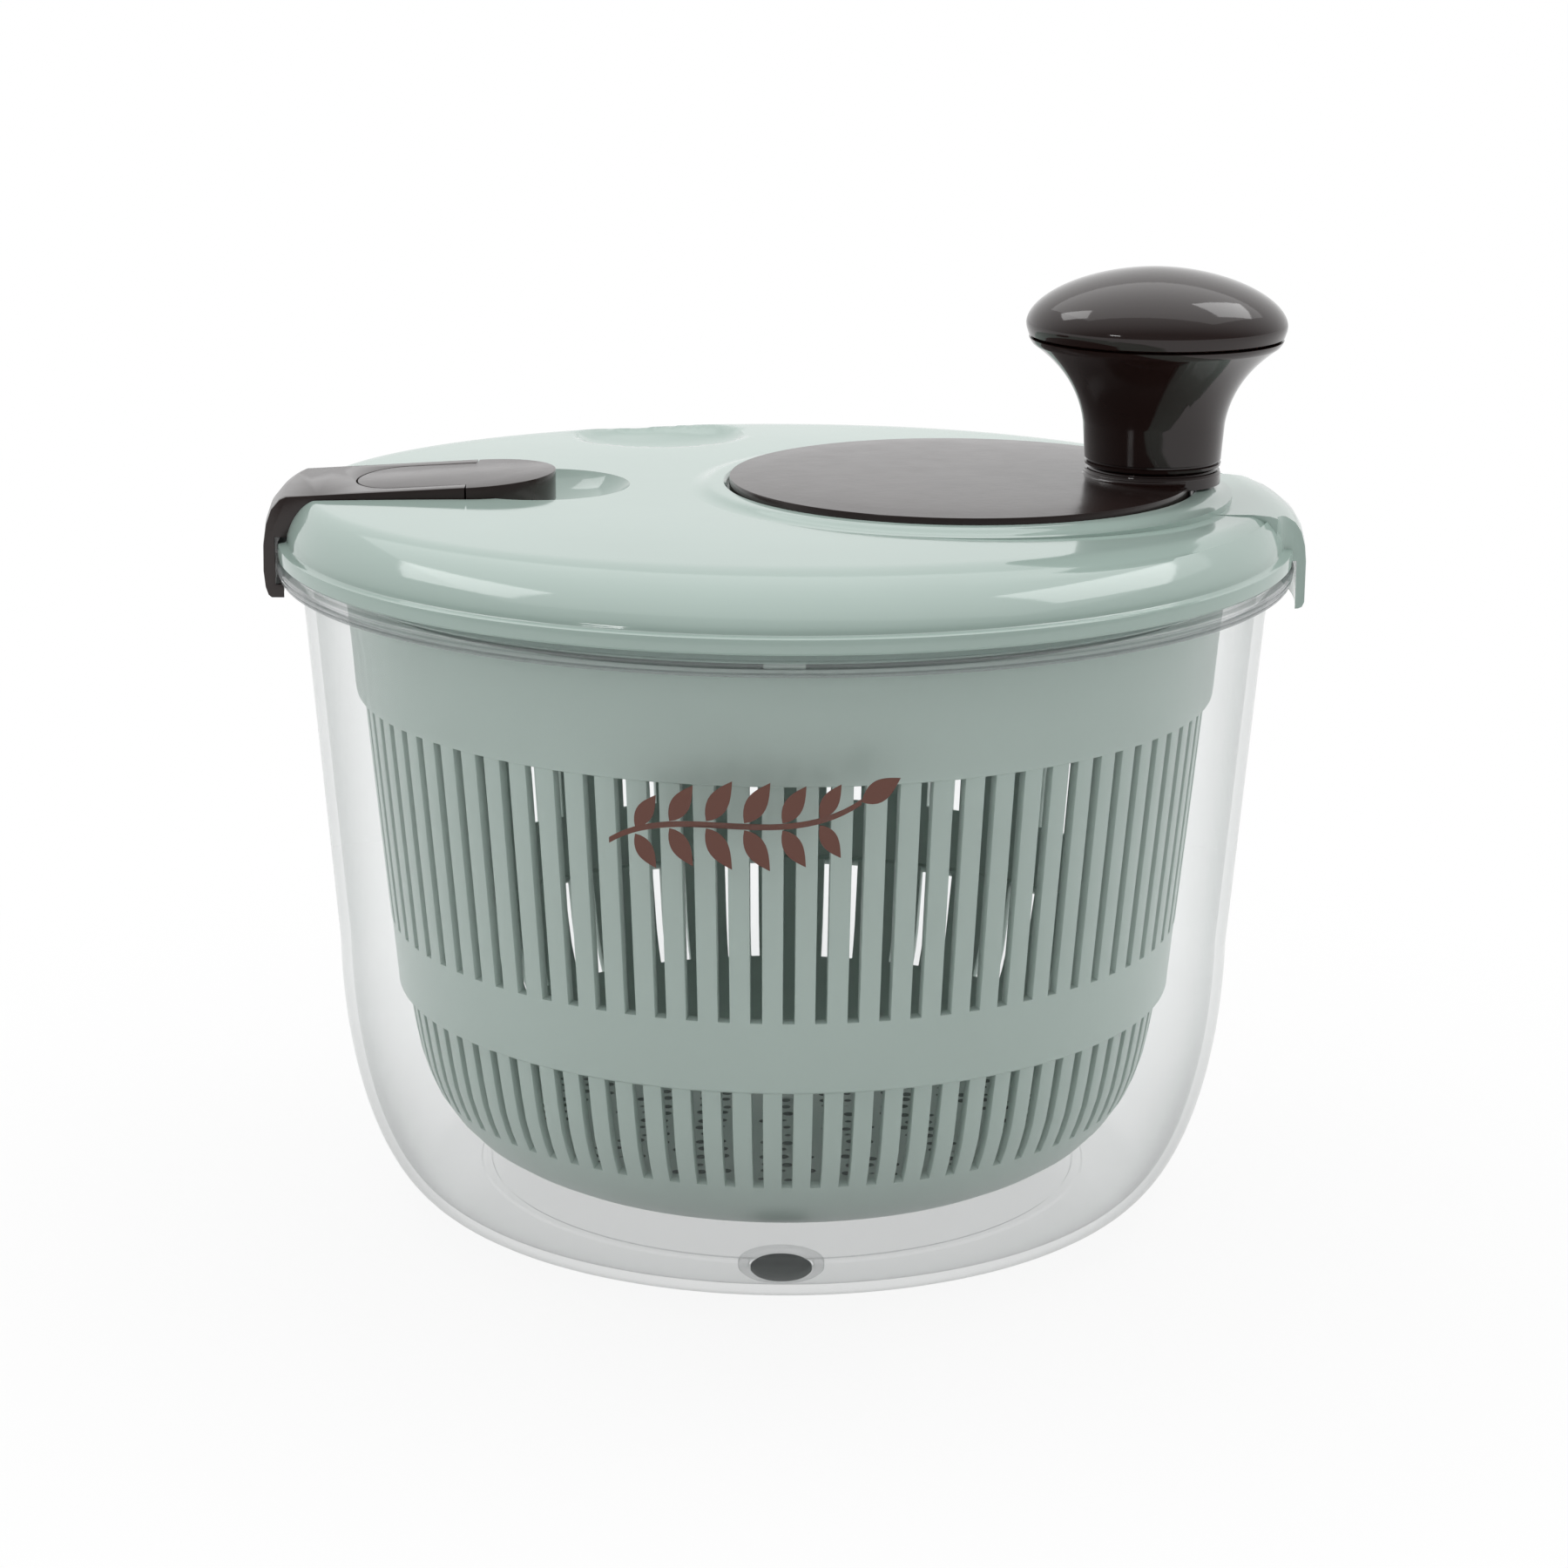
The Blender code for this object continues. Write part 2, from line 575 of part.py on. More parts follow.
def make_gears():
    crank_axis = AXES["crank_axis"]
    crank_place = (CRANK_X, 0, 0)
    half_pitch = math.pi / PINION_TEETH
    gear = prism("drive_gear", gear_outline(CRANK_TEETH, CRANK_X, math.pi, BACKLASH), GEAR_LOW, GEAR_TOP, "nylon")
    cut(gear, square_hole("drive_gear_square", SQUARE / 2 + GAP, GEAR_LOW - 1, GEAR_TOP + 1, (CRANK_X, 0)))
    carry(gear, crank_axis, crank_place)
    pinion = prism("pinion_gear", gear_outline(PINION_TEETH, 0, half_pitch, BACKLASH), GEAR_LOW, GEAR_TOP, "nylon")
    join(pinion, rod("pinion_hub", HUB_RADIUS, HOUSING_LOW - 0.6, GEAR_LOW + 1, steps=24))
    half = PINION_SQUARE / 2
    join(pinion, box("pinion_stub", (-half, -half, PLATE_LOW - GAP), (half, half, HOUSING_LOW)))
    cut(pinion, rod("pinion_bore", PIVOT_BOSS_RADIUS + GAP, PLATE_LOW - 3, GEAR_TOP + 1, steps=20))
    carry(pinion, AXES["rotor_axis"], (0, 0, 0))
    head_top = GEAR_LOW - GAP
    profile = [(0, DISC_LOW + 0.5), (SCREW_RADIUS, DISC_LOW + 0.5), (SCREW_RADIUS, head_top), (HUB_RADIUS + 0.5, head_top),
               (HUB_RADIUS + 0.5, head_top - GEAR_SCREW_HEAD), (0, head_top - GEAR_SCREW_HEAD)]
    carry(turned("gear_screw", profile, "steel", 16, (CRANK_X, 0)), crank_axis, crank_place)
    profile = [(HUB_RADIUS + 2, RECESS_Z), (HUB_RADIUS + 2, CEILING - GAP), (HUB_RADIUS + 4, CEILING - GAP),
               (HUB_RADIUS + 4, CEILING - 0.9), (HUB_BORE, CEILING - 0.9), (HUB_BORE, RECESS_Z)]
    turned("crank_bush", profile, "nylon", 24, (CRANK_X, 0))


def belt_outline(margin):
    """The outline around both gears: two arcs and their common tangents."""
    small = PINION_RADIUS + margin
    large = GEAR_RADIUS + margin
    lean = math.degrees(math.acos((small - large) / CRANK_X))
    return arc((CRANK_X, 0), large, -lean, lean, 25) + arc((0, 0), small, lean, 360 - lean, 15)


def make_housing():
    outer = RUN + HOUSING_WALL
    housing = prism("gear_housing", belt_outline(outer + HOUSING_MARGIN), HOUSING_LOW, HOUSING_TOP, "aqua")
    join(housing, prism("housing_wall", belt_outline(outer), HOUSING_LOW + 0.5, CEILING - GAP))
    cut(housing, prism("housing_room", belt_outline(RUN), HOUSING_TOP, CEILING + 1))
    for index, place in enumerate(housing_screw_places()):
        number = index + 1
        cut(housing, rod("housing_hole_%d" % number, 1.0 + GAP, HOUSING_LOW - 1, HOUSING_TOP + 1, steps=10, centre=place))
        low = HOUSING_LOW - GAP
        profile = [(0, CEILING - 1.5), (1.0, CEILING - 1.5), (1.0, low), (2.4, low),
                   (2.4, low - HOUSING_SCREW_HEAD), (0, low - HOUSING_SCREW_HEAD)]
        turned("housing_screw_%d" % number, profile, "steel", 12, place)
    cut(housing, rod("rotor_hole", HUB_RADIUS + SEAT, HOUSING_LOW - 1, HOUSING_TOP + 1, steps=24))


def make_rotor():
    """The drive plate turns under the lid, and its dogs sit in the basket's rim notches."""
    rotor = AXES["rotor_axis"]
    inner = PLATE_RADIUS - PLATE_WALL
    profile = [(0, PLATE_TOP), (PLATE_RADIUS - 1.5, PLATE_TOP), (PLATE_RADIUS, PLATE_TOP - 1.5), (PLATE_RADIUS, DOG_LOW),
               (inner, DOG_LOW), (inner, PLATE_LOW), (0, PLATE_LOW)]
    plate = turned("drive_plate", profile, "aqua", 60)
    reach = BASKET_RIM_RADIUS - 0.4
    join(plate, *around("drive_dog", inner + 0.5, reach, DOG_HALF_WIDTH, DOG_LOW, PLATE_LOW + 0.5))
    cut(plate, square_hole("plate_square", PINION_SQUARE / 2 + GAP, DOG_LOW, PLATE_TOP + 1))
    carry(plate, rotor, (0, 0, 0))
    boss_low = PLATE_LOW - 0.7
    washer_top = boss_low - GAP
    washer_low = washer_top - 0.8
    ring("rotor_washer", SCREW_RADIUS + GAP, PINION_SQUARE * 0.8, washer_low, washer_top, "steel", 24)
    head = washer_low - GAP
    profile = [(0, GEAR_LOW), (SCREW_RADIUS, GEAR_LOW), (SCREW_RADIUS, head), (3.4, head),
               (3.4, head - 1.2), (2.2, head - 2.0), (0, head - 2.0)]
    turned("rotor_screw", profile, "steel", 16)


# ---------------------------------------------------------------- crank and knob

def make_crank():
    crank_axis = AXES["crank_axis"]
    place = (CRANK_X, 0, 0)
    profile = arc((0, DISC_EDGE - 0.4), (DISC_RADIUS - 0.5, DISC_CROWN), 90, 20, 4)
    profile += [(DISC_RADIUS, DISC_EDGE - 0.6), (DISC_RADIUS, DISC_LOW), (HUB_RADIUS, DISC_LOW),
                (HUB_RADIUS, GEAR_TOP + GAP), (0, GEAR_TOP + GAP)]
    profile[0] = (0, profile[0][1])
    disc = turned("crank_disc", profile, "brown", 56, (CRANK_X, 0))
    boss = [(0, BOSS_TOP), (BOSS_RADIUS - 0.5, BOSS_TOP), (BOSS_RADIUS, BOSS_TOP - 0.5), (BOSS_RADIUS, BOSS_LOW), (0, BOSS_LOW)]
    join(disc, turned("knob_boss", boss, steps=32, centre=(KNOB_X, 0)))
    half = SQUARE / 2
    join(disc, box("hub_square", (CRANK_X - half, -half, GEAR_LOW + GAP), (CRANK_X + half, half, DISC_LOW + 0.5)))
    cut(disc, rod("gear_screw_bore", SCREW_RADIUS + GAP, GEAR_LOW - 1, DISC_LOW + 0.8, steps=12, centre=(CRANK_X, 0)))
    cut(disc, rod("knob_pin_bore", KNOB_PIN_RADIUS + GAP, DISC_LOW + 1, BOSS_TOP + 1, steps=20, centre=(KNOB_X, 0)))
    carry(disc, crank_axis, place)
    head = KNOB_LOW + KNOB_FLOOR + GAP
    profile = [(0, head + 1.6), (KNOB_PIN_RADIUS + 2.4, head + 1.6), (KNOB_PIN_RADIUS + 2.4, head), (KNOB_PIN_RADIUS, head),
               (KNOB_PIN_RADIUS, DISC_LOW + 1 + GAP), (0, DISC_LOW + 1 + GAP)]
    carry(turned("knob_pin", profile, "steel", 20, (KNOB_X, 0)), crank_axis, place)


def make_knob():
    axis = AXES["knob_axis"]
    place = (KNOB_X, 0, 0)
    lip = KNOB_RADIUS - 0.2
    waist = KNOB_LOW + 4.3
    stem = bezier((lip, KNOB_SEAM), (KNOB_RADIUS - 6, KNOB_SEAM - 5.8), (KNOB_STEM_RADIUS + 1.2, waist + 9.5),
                  (KNOB_STEM_RADIUS + 0.1, waist), 9)
    floor = KNOB_LOW + KNOB_FLOOR
    spigot = KNOB_RADIUS - 4.6
    room = spigot + GAP
    profile = stem + [(KNOB_STEM_RADIUS - 0.1, KNOB_LOW), (KNOB_PIN_RADIUS + GAP, KNOB_LOW), (KNOB_PIN_RADIUS + GAP, floor),
                      (KNOB_STEM_RADIUS - KNOB_WALL, floor), (KNOB_STEM_RADIUS - 0.6, KNOB_SEAM - 10),
                      (room, KNOB_SEAM - 3.0), (room, KNOB_SEAM)]
    carry(turned("knob_grip", profile, "brown", 32, (KNOB_X, 0)), axis, place)
    low = KNOB_SEAM + GAP
    edge = low + 0.8
    outside = []
    inside = []
    count = 7
    for i in range(count):
        rise = math.sin(math.radians(90 * (1 - i / (count - 1))))
        radius = max(0.0, 1 - rise ** 1.8) ** 0.54
        outside.append((KNOB_RADIUS * radius, edge + (KNOB_TOP - edge) * rise))
        inside.append(((spigot - KNOB_WALL + 0.4) * radius, edge + 1 + (KNOB_TOP - KNOB_WALL - edge - 1) * rise))
    profile = outside + [(lip, low), (spigot, low), (spigot, low - 2.2), (spigot - KNOB_WALL + 0.4, low - 2.2)]
    profile += list(reversed(inside))
    carry(turned("knob_cap", profile, "brown", 32, (KNOB_X, 0)), axis, place)


# ---------------------------------------------------------------- latch

def lever_side(button_only):
    """Side view of the lever: the strap and hook, or the button alone."""
    rim_top = LID_TOP + LEVER_REST_RISE
    tip_top = LID_TOP + LEVER_TIP_RISE
    low = rim_top - LEVER_THICKNESS
    slope = (tip_top - rim_top) / (LEVER_TIP_X - PIN_X)
    if button_only:
        end = rim_top + slope * (TONGUE_END_X - 2 - PIN_X)
        return [(LEVER_TIP_X + 1, tip_top), (TONGUE_END_X - 2, end), (TONGUE_END_X - 2, low), (LEVER_TIP_X + 1, low)]
    shoulder_top = rim_top + slope * (LEVER_SHOULDER_X - PIN_X)
    bend = (HOOK_REACH + 7.5, rim_top - 8.4)
    ear = PIN_Z - PIN_RADIUS - GAP - 1.2
    points = [(LEVER_SHOULDER_X, shoulder_top), (PIN_X, rim_top)]
    points += arc(bend, (7.5, 8.3), 90, 180, 7)
    points += [(HOOK_REACH + 0.4, bend[1] - 6), (HOOK_REACH + 1.8, LIP_LOW + 1.4), (HOOK_REACH + 3.0, LIP_LOW + 0.2),
               (HOOK_REACH + 4.0, LIP_LOW), (-FLANGE_RADIUS + 5, LIP_LOW), (-FLANGE_RADIUS + 5, ear), (PIN_X + 2.8, ear),
               (PIN_X + 2.8, low), (LEVER_SHOULDER_X, low)]
    return points


def tongue_outline(margin):
    """The narrow end of the button, which lies between the strap's two rails."""
    half = FRAME_EDGE + margin
    start = TONGUE_END_X + 9
    return arc((start, 0), (9 + margin, half), 90, 270, 13)


def make_latch():
    axis = AXES["latch_axis"]
    place = (PIN_X, 0, PIN_Z)
    half = LEVER_HALF_WIDTH
    hook = prism("latch_hook", lever_side(False), -half, half, "brown", upright=True)
    step = LIP_TOP
    room = [(0, PIN_Z - PIN_RADIUS - GAP - 1.4), (BRIM_RADIUS + 0.5, PIN_Z - PIN_RADIUS - GAP - 1.4), (BRIM_RADIUS + 0.5, step),
            (FLANGE_RADIUS - HOOK_LIP, step), (FLANGE_RADIUS - HOOK_LIP, LIP_LOW - 5), (0, LIP_LOW - 5)]
    cut(hook, turned("rim_room", room, steps=90))
    window = tongue_outline(0) + [(LEVER_SHOULDER_X + 2, -FRAME_EDGE), (LEVER_SHOULDER_X + 2, FRAME_EDGE)]
    cut(hook, prism("tongue_window", window, PIN_Z - 5, LID_TOP + 10))
    bore = arc((PIN_X, PIN_Z), PIN_RADIUS + GAP, 0, 345, 16)
    cut(hook, prism("lever_bore", bore, -half - 1, half + 1, upright=True))
    carry(hook, axis, place)
    tip = LEVER_TIP_X - half
    plan = tongue_outline(-GAP) + [(LEVER_SHOULDER_X, -FRAME_EDGE + GAP), (LEVER_SHOULDER_X + GAP, -half)]
    plan += arc((tip, 0), half, -90, 90, 15)
    plan += [(LEVER_SHOULDER_X + GAP, half), (LEVER_SHOULDER_X, FRAME_EDGE - GAP)]
    button = prism("latch_button", plan, PIN_Z - 5, LID_TOP + 10, "brown")
    combine(button, "INTERSECT", prism("lever_side_view", lever_side(True), -half - 1, half + 1, upright=True))
    carry(button, axis, place)
    length = LEVER_HALF_WIDTH + RUN + 1.3 - GAP
    prism("latch_pin", arc((PIN_X, PIN_Z), PIN_RADIUS, 0, 345, 16), -length, length, "steel", upright=True)
    make_spring(LEVER_SHOULDER_X - 1, CHANNEL_Z + GAP, LID_TOP + LEVER_REST_RISE - LEVER_THICKNESS - GAP)


def make_spring(place_x, low, high):
    """A compression spring that lifts the lever's inner end."""
    turns, wire, radius = 4, 0.4, 3.0
    steps = 9 * turns
    curve = bpy.data.curves.new("latch_spring", "CURVE")
    curve.dimensions = "3D"
    curve.bevel_depth = wire * MM
    curve.bevel_resolution = 2
    curve.use_fill_caps = True
    spline = curve.splines.new("POLY")
    spline.points.add(steps)
    for index, point in enumerate(spline.points):
        turn = 2 * math.pi * index / 9
        height = low + wire + (high - low - 2 * wire) * index / steps
        point.co = ((place_x + radius * math.cos(turn)) * MM, radius * math.sin(turn) * MM, height * MM, 1)
    curve.materials.append(MATERIALS["steel"])
    PARTS.objects.link(bpy.data.objects.new("latch_spring", curve))


AXES = {"crank_axis": empty("crank_axis", (CRANK_X, 0, 0)), "rotor_axis": empty("rotor_axis", (0, 0, 0)),
        "latch_axis": empty("latch_axis", (PIN_X, 0, PIN_Z))}
AXES["knob_axis"] = empty("knob_axis", (KNOB_X, 0, 0))

make_bowl()
make_basket()
make_lid()
make_gears()
make_housing()
make_rotor()
make_crank()
make_knob()
make_latch()

for part in PARTS.objects:
    if part.type == "MESH":
        part.data.shade_smooth()
        part.data.set_sharp_from_angle(angle=math.radians(35))
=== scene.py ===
"""The salad spinner's finished look: a clear bowl, a slotted basket, a gloss lid with its lever
latch, and a dark crank disc with its turning knob. Lengths are in millimetres until they reach
Blender, except for the camera, the lamps and the finishes, which are in metres."""

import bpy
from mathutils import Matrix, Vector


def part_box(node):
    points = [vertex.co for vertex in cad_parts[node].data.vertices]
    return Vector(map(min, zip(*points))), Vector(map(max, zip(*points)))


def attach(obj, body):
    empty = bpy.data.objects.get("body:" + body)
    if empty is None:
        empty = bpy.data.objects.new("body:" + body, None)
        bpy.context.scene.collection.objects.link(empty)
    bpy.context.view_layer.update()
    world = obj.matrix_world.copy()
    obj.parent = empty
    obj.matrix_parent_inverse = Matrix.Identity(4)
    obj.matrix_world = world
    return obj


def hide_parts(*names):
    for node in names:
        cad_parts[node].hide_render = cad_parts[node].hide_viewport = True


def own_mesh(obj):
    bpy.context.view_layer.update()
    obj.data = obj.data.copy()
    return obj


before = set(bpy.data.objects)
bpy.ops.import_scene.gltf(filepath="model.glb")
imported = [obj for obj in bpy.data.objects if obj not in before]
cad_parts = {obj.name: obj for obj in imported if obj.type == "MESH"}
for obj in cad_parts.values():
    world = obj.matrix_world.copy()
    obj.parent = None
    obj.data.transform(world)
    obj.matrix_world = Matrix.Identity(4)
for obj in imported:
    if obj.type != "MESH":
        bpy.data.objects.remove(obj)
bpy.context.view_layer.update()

import math

import bpy
from mathutils import Matrix, Vector

MM = 0.001
GAP = 0.3               # between pieces that touch


# ---------------------------------------------------------------- sizes read from the frame

def low_corner(node):
    return [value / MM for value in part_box(node)[0]]


def high_corner(node):
    return [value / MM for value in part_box(node)[1]]


def middle(node, axis):
    return (low_corner(node)[axis] + high_corner(node)[axis]) / 2


FLANGE_TOP = high_corner("bowl")[2]
FLANGE_HEIGHT = 3.5
FLANGE_LOW = FLANGE_TOP - FLANGE_HEIGHT
FLANGE_RADIUS = high_corner("bowl")[1]
WALL_RADIUS = FLANGE_RADIUS - 4.5
WAIST_RADIUS = WALL_RADIUS - 5.5
WAIST_Z = 51.4
FLOOR_RADIUS = 67.9
FLOOR_Z = 1.5
BOWL_WALL = 2.0
BRIM_RADIUS = high_corner("lid_cover")[1]
BRIM_LOW = FLANGE_TOP + GAP
BRIM_TOP = BRIM_LOW + 2.9
COLLAR_TOP = high_corner("lid_cover")[2]
LID_TOP = COLLAR_TOP - 1.0
LUG_REACH = high_corner("lid_cover")[0]
LUG_LOW = low_corner("lid_cover")[2]
LUG_HALF_WIDTH = 15.4
CREASE = (BRIM_RADIUS - 6.4, BRIM_RADIUS - 21.1)     # the lid's oval top, half of each axis
CREASE_FALL = 0.5
CREASE_Z = LID_TOP - CREASE_FALL
CEILING = LID_TOP - 3.0                              # the lid's inside
RECESS_Z = CEILING + 2.0
CRANK_X = middle("drive_gear", 0)
DISC_RADIUS = high_corner("crank_disc")[1]
DISC_LOW = RECESS_Z + GAP
DISC_EDGE = DISC_LOW + 3.0
RECESS_RADIUS = DISC_RADIUS + 0.6
COLLAR_RADIUS = RECESS_RADIUS + 6.0
HUB_RADIUS = 5.0
CRANK_BORE = 7.3
KNOB_X = middle("knob_cap", 0)
KNOB_RADIUS = high_corner("knob_cap")[1]
KNOB_TOP = high_corner("knob_cap")[2]
KNOB_LOW = low_corner("knob_grip")[2]
KNOB_SEAM = high_corner("knob_grip")[2]
STEM_RADIUS = 12.9
BOSS_TOP = KNOB_LOW - GAP
BOSS_RADIUS = 12.9
BASKET_RADIUS = BRIM_RADIUS - 12.5
BASKET_TOP = 121.0
BASKET_BASE_Z = 10.4
BASKET_WALL = 1.8
BASE_RADIUS = 56.4
LEVER_HALF = high_corner("latch_hook")[1]
LEVER_TIP_X = high_corner("latch_button")[0]
LEVER_SHOULDER_X = high_corner("latch_hook")[0]
HOOK_REACH = low_corner("latch_hook")[0]
HOOK_LOW = low_corner("latch_hook")[2]
PIN_X = middle("latch_pin", 0)
PIN_Z = middle("latch_pin", 2)
RAIL_EDGE = LEVER_HALF - 3.6
TONGUE_END_X = PIN_X + 5.5
TONGUE_ROUND = 9.0
LEVER_LOW = LID_TOP - 2.8
CHANNEL_Z = LID_TOP - 9.9
CHANNEL_WALL = 1.6


# ---------------------------------------------------------------- camera, floor and light

CAMERA_PLACE = (0, -0.672, 0.2577)
CAMERA_DOWN = 14.9
CAMERA_ROLL = 0.33


def make_camera():
    bpy.ops.object.camera_add()
    camera = bpy.context.active_object
    camera.name = "camera"
    camera.data.sensor_width = 36.0
    camera.data.lens = 82.2
    camera.data.clip_start = 0.01
    place = Matrix.Translation(CAMERA_PLACE)
    tilt = Matrix.Rotation(math.radians(90 - CAMERA_DOWN), 4, "X")
    roll = Matrix.Rotation(math.radians(CAMERA_ROLL), 4, "Z")
    camera.matrix_world = place @ tilt @ roll
    bpy.context.scene.camera = camera


def make_lamp(name, place, aim, size, power):
    """A soft rectangular lamp. Place, aim and size are in metres."""
    bpy.ops.object.light_add(type="AREA", location=place)
    lamp = bpy.context.active_object
    lamp.name = name
    lamp.data.shape = "RECTANGLE"
    lamp.data.size, lamp.data.size_y = size
    lamp.data.energy = power
    direction = Vector(aim) - Vector(place)
    lamp.rotation_mode = "QUATERNION"
    lamp.rotation_quaternion = direction.to_track_quat("-Z", "Y")


bpy.ops.object.select_all(action="DESELECT")
make_camera()
make_lamp("top_light", (0.1, 0.45, 1.1), (0, 0, 0.1), (1.7, 1.1), 3.6)
make_lamp("left_window", (-0.57, 0.42, 0.96), (-0.055, -0.075, 0.133), (0.3, 0.36), 0.95)
make_lamp("left_strip", (-0.62, -0.75, 0.5), (0.05, 0, 0.15), (0.16, 0.05), 0.35)
make_lamp("right_window", (0.57, 0.42, 0.96), (0.06, -0.07, 0.133), (0.4, 0.4), 1.3)


# ---------------------------------------------------------------- finishes

def linear(red, green, blue):
    """A colour given as 0 to 255 screen values."""
    def one(value):
        value = value / 255
        return value / 12.92 if value <= 0.04045 else ((value + 0.055) / 1.055) ** 2.4
    return (one(red), one(green), one(blue), 1.0)


class Wire:
    """A socket of a finish. Arithmetic on it adds Math nodes."""

    def __init__(self, finish, socket):
        self.finish = finish
        self.socket = socket

    def math(self, operation, first, second):
        return self.finish.node("Math", {"operation": operation}, {0: first, 1: second})

    def __add__(self, other):
        return self.math("ADD", self, other)

    def __sub__(self, other):
        return self.math("SUBTRACT", self, other)

    def __rsub__(self, other):
        return self.math("SUBTRACT", other, self)

    def __mul__(self, other):
        return self.math("MULTIPLY", self, other)

    __radd__ = __add__
    __rmul__ = __mul__


class Finish:
    """A material or the world, and the one way its nodes are made."""

    def __init__(self, name, owner=None):
        self.owner = owner or bpy.data.materials.new(name)
        self.owner.use_nodes = True
        self.tree = self.owner.node_tree
        self.tree.nodes.clear()

    def node(self, kind, settings, values, output=0):
        """A node with its settings, then the values or links of its sockets."""
        made = self.tree.nodes.new("ShaderNode" + kind)
        for name, setting in settings.items():
            setattr(made, name, setting)
        for name, value in values.items():
            if isinstance(value, Wire):
                self.tree.links.new(value.socket, made.inputs[name])
            else:
                made.inputs[name].default_value = value
        return Wire(self, made.outputs[output]) if made.outputs else None

    def place(self):
        return self.node("TexCoord", {}, {}, "Object")

    def noise(self, scale, detail=2.0):
        values = {"Vector": self.place(), "Scale": scale, "Detail": detail}
        return self.node("TexNoise", {}, values)

    def ramp(self, value, start, stop, first, last, **settings):
        """Goes from first to last as the value goes from start to stop."""
        values = {"Value": value, 1: start, 2: stop, 3: first, 4: last}
        return self.node("MapRange", settings, values)

    def rays(self):
        """Whether a ray is seen directly, is a reflection, or comes through clear plastic."""
        kinds = ("Is Camera Ray", "Is Glossy Ray", "Is Transmission Ray")
        return [self.node("LightPath", {}, {}, kind) for kind in kinds]

    def blend(self, share, first, second):
        """A colour between two colours."""
        return self.node("Mix", {"data_type": "RGBA"}, {"Factor": share, 6: first, 7: second}, 2)

    def show(self, shader, kind="OutputMaterial"):
        self.node(kind, {}, {"Surface": shader})
        return self.owner


SKIN_DEPTH = 0.0002


def shaded(colour, share):
    return tuple(value * share for value in colour[:3]) + (1.0,)


def plastic(name, colour, roughness, grain=0.03, specular=0.5):
    """Moulded plastic: faint cloudiness, a slightly uneven gloss and a fine orange-peel skin."""
    finish = Finish(name)
    cloud = finish.noise(26.0, 3.0)
    peel = finish.noise(650.0)
    wear = finish.noise(180.0, 6.0)
    tint = finish.blend(cloud, shaded(colour, 0.955), shaded(colour, 1.045))
    gloss = roughness + (wear - 0.5) * 0.08 + (cloud - 0.5) * 0.05
    skin = finish.node("Bump", {}, {
        "Strength": grain, "Distance": SKIN_DEPTH, "Height": peel + wear * 0.5})
    return finish.show(finish.node("BsdfPrincipled", {}, {
        "Base Color": tint, "Roughness": gloss, "Normal": skin, "Specular IOR Level": specular}))


def clear_plastic(name, colour, veil, edge_veil):
    """Clear moulded plastic: see-through face on, greyer and more mirror-like where it is seen edge
    on, and darker, greyer and less clear low down, as a painted shade under the basket."""
    low_shade_from, low_shade_to, low_shade_veil, densest = 0.008, 0.04, 0.075, 0.92
    finish = Finish(name)
    wear = finish.noise(240.0, 5.0)
    height = finish.node("SeparateXYZ", {}, {"Vector": finish.place()}, "Z")
    # Painted shade: from 40 mm down to 8 mm high the plastic grows darker, greyer and less clear,
    # for the shade under the basket.
    base = finish.ramp(height, low_shade_from, low_shade_to, 1.0, 0.0)
    edge = finish.node("LayerWeight", {}, {"Blend": 0.5}, "Facing")
    see = finish.node("BsdfTransparent", {}, {"Color": (0.985, 0.988, 0.988, 1)})
    skin = finish.node("Bump", {}, {"Strength": 0.01, "Distance": SKIN_DEPTH, "Height": wear})
    # Painted shade: low down the body's colour falls to 0.62 of its brightness.
    tint = finish.blend(base, colour, shaded(colour, 0.62))
    body = finish.node("BsdfPrincipled", {}, {
        "Base Color": tint, "Roughness": 0.04 + wear * 0.05, "Normal": skin})
    steep = edge * edge * edge
    share = steep * steep * (densest - veil - edge_veil) + edge * edge * edge_veil
    share = share + base * low_shade_veil + veil
    return finish.show(finish.node("MixShader", {}, {0: share, 1: see, 2: body}))


def pierced(name, colour, dark):
    """Satin plastic with a close pattern of small drain holes, which are not cut: each is painted
    dark, as the shade seen through it, and pressed in by a bump.
    """
    hole_rim, hole_edge = 0.24, 0.3
    finish = Finish(name)
    cell = finish.node("TexVoronoi", {}, {
        "Vector": finish.place(), "Scale": 250.0, "Randomness": 0.35}, "Distance")
    hole = finish.ramp(cell, hole_rim, hole_edge, 1.0, 0.0)
    # Painted shade: the holes take the dark colour, as the shade seen through them.
    tint = finish.blend(hole, colour, dark)
    skin = finish.node("Bump", {}, {"Strength": 0.5, "Distance": 0.0006, "Height": 1.0 - hole})
    return finish.show(finish.node("BsdfPrincipled", {}, {
        "Base Color": tint, "Roughness": 0.3 + hole * 0.3, "Normal": skin}))


def metal(name, colour, roughness):
    finish = Finish(name)
    wear = finish.noise(420.0, 5.0)
    tint = finish.blend(wear, shaded(colour, 0.85), colour)
    return finish.show(finish.node("BsdfPrincipled", {}, {
        "Base Color": tint, "Roughness": roughness + wear * 0.15, "Metallic": 1.0}))


def make_world():
    """White to the eye and through clear plastic, with a dimmer room in front of the object."""
    finish = Finish("studio", bpy.data.worlds.new("studio"))
    seen, glossy, through = finish.rays()
    direction = finish.node("TexCoord", {}, {}, "Generated")
    forward = finish.node("SeparateXYZ", {}, {"Vector": direction}, "Y")
    rise = finish.node("SeparateXYZ", {}, {"Vector": direction}, "Z")
    dimmest = 0.22
    far = finish.ramp(forward * 0.8 + rise * 0.6, -0.4, 0.8, dimmest, 1.0,
                      interpolation_type="SMOOTHSTEP")
    strength = finish.node("Math", {"operation": "MAXIMUM"}, {0: seen, 1: through})
    plain = far * 0.46 + 0.34
    level = strength + (1.0 - strength) * (glossy * far + (1.0 - glossy) * plain)
    sky = finish.node("Background", {}, {"Color": (1, 1, 1, 1), "Strength": level})
    bpy.context.scene.world = finish.show(sky, "OutputWorld")


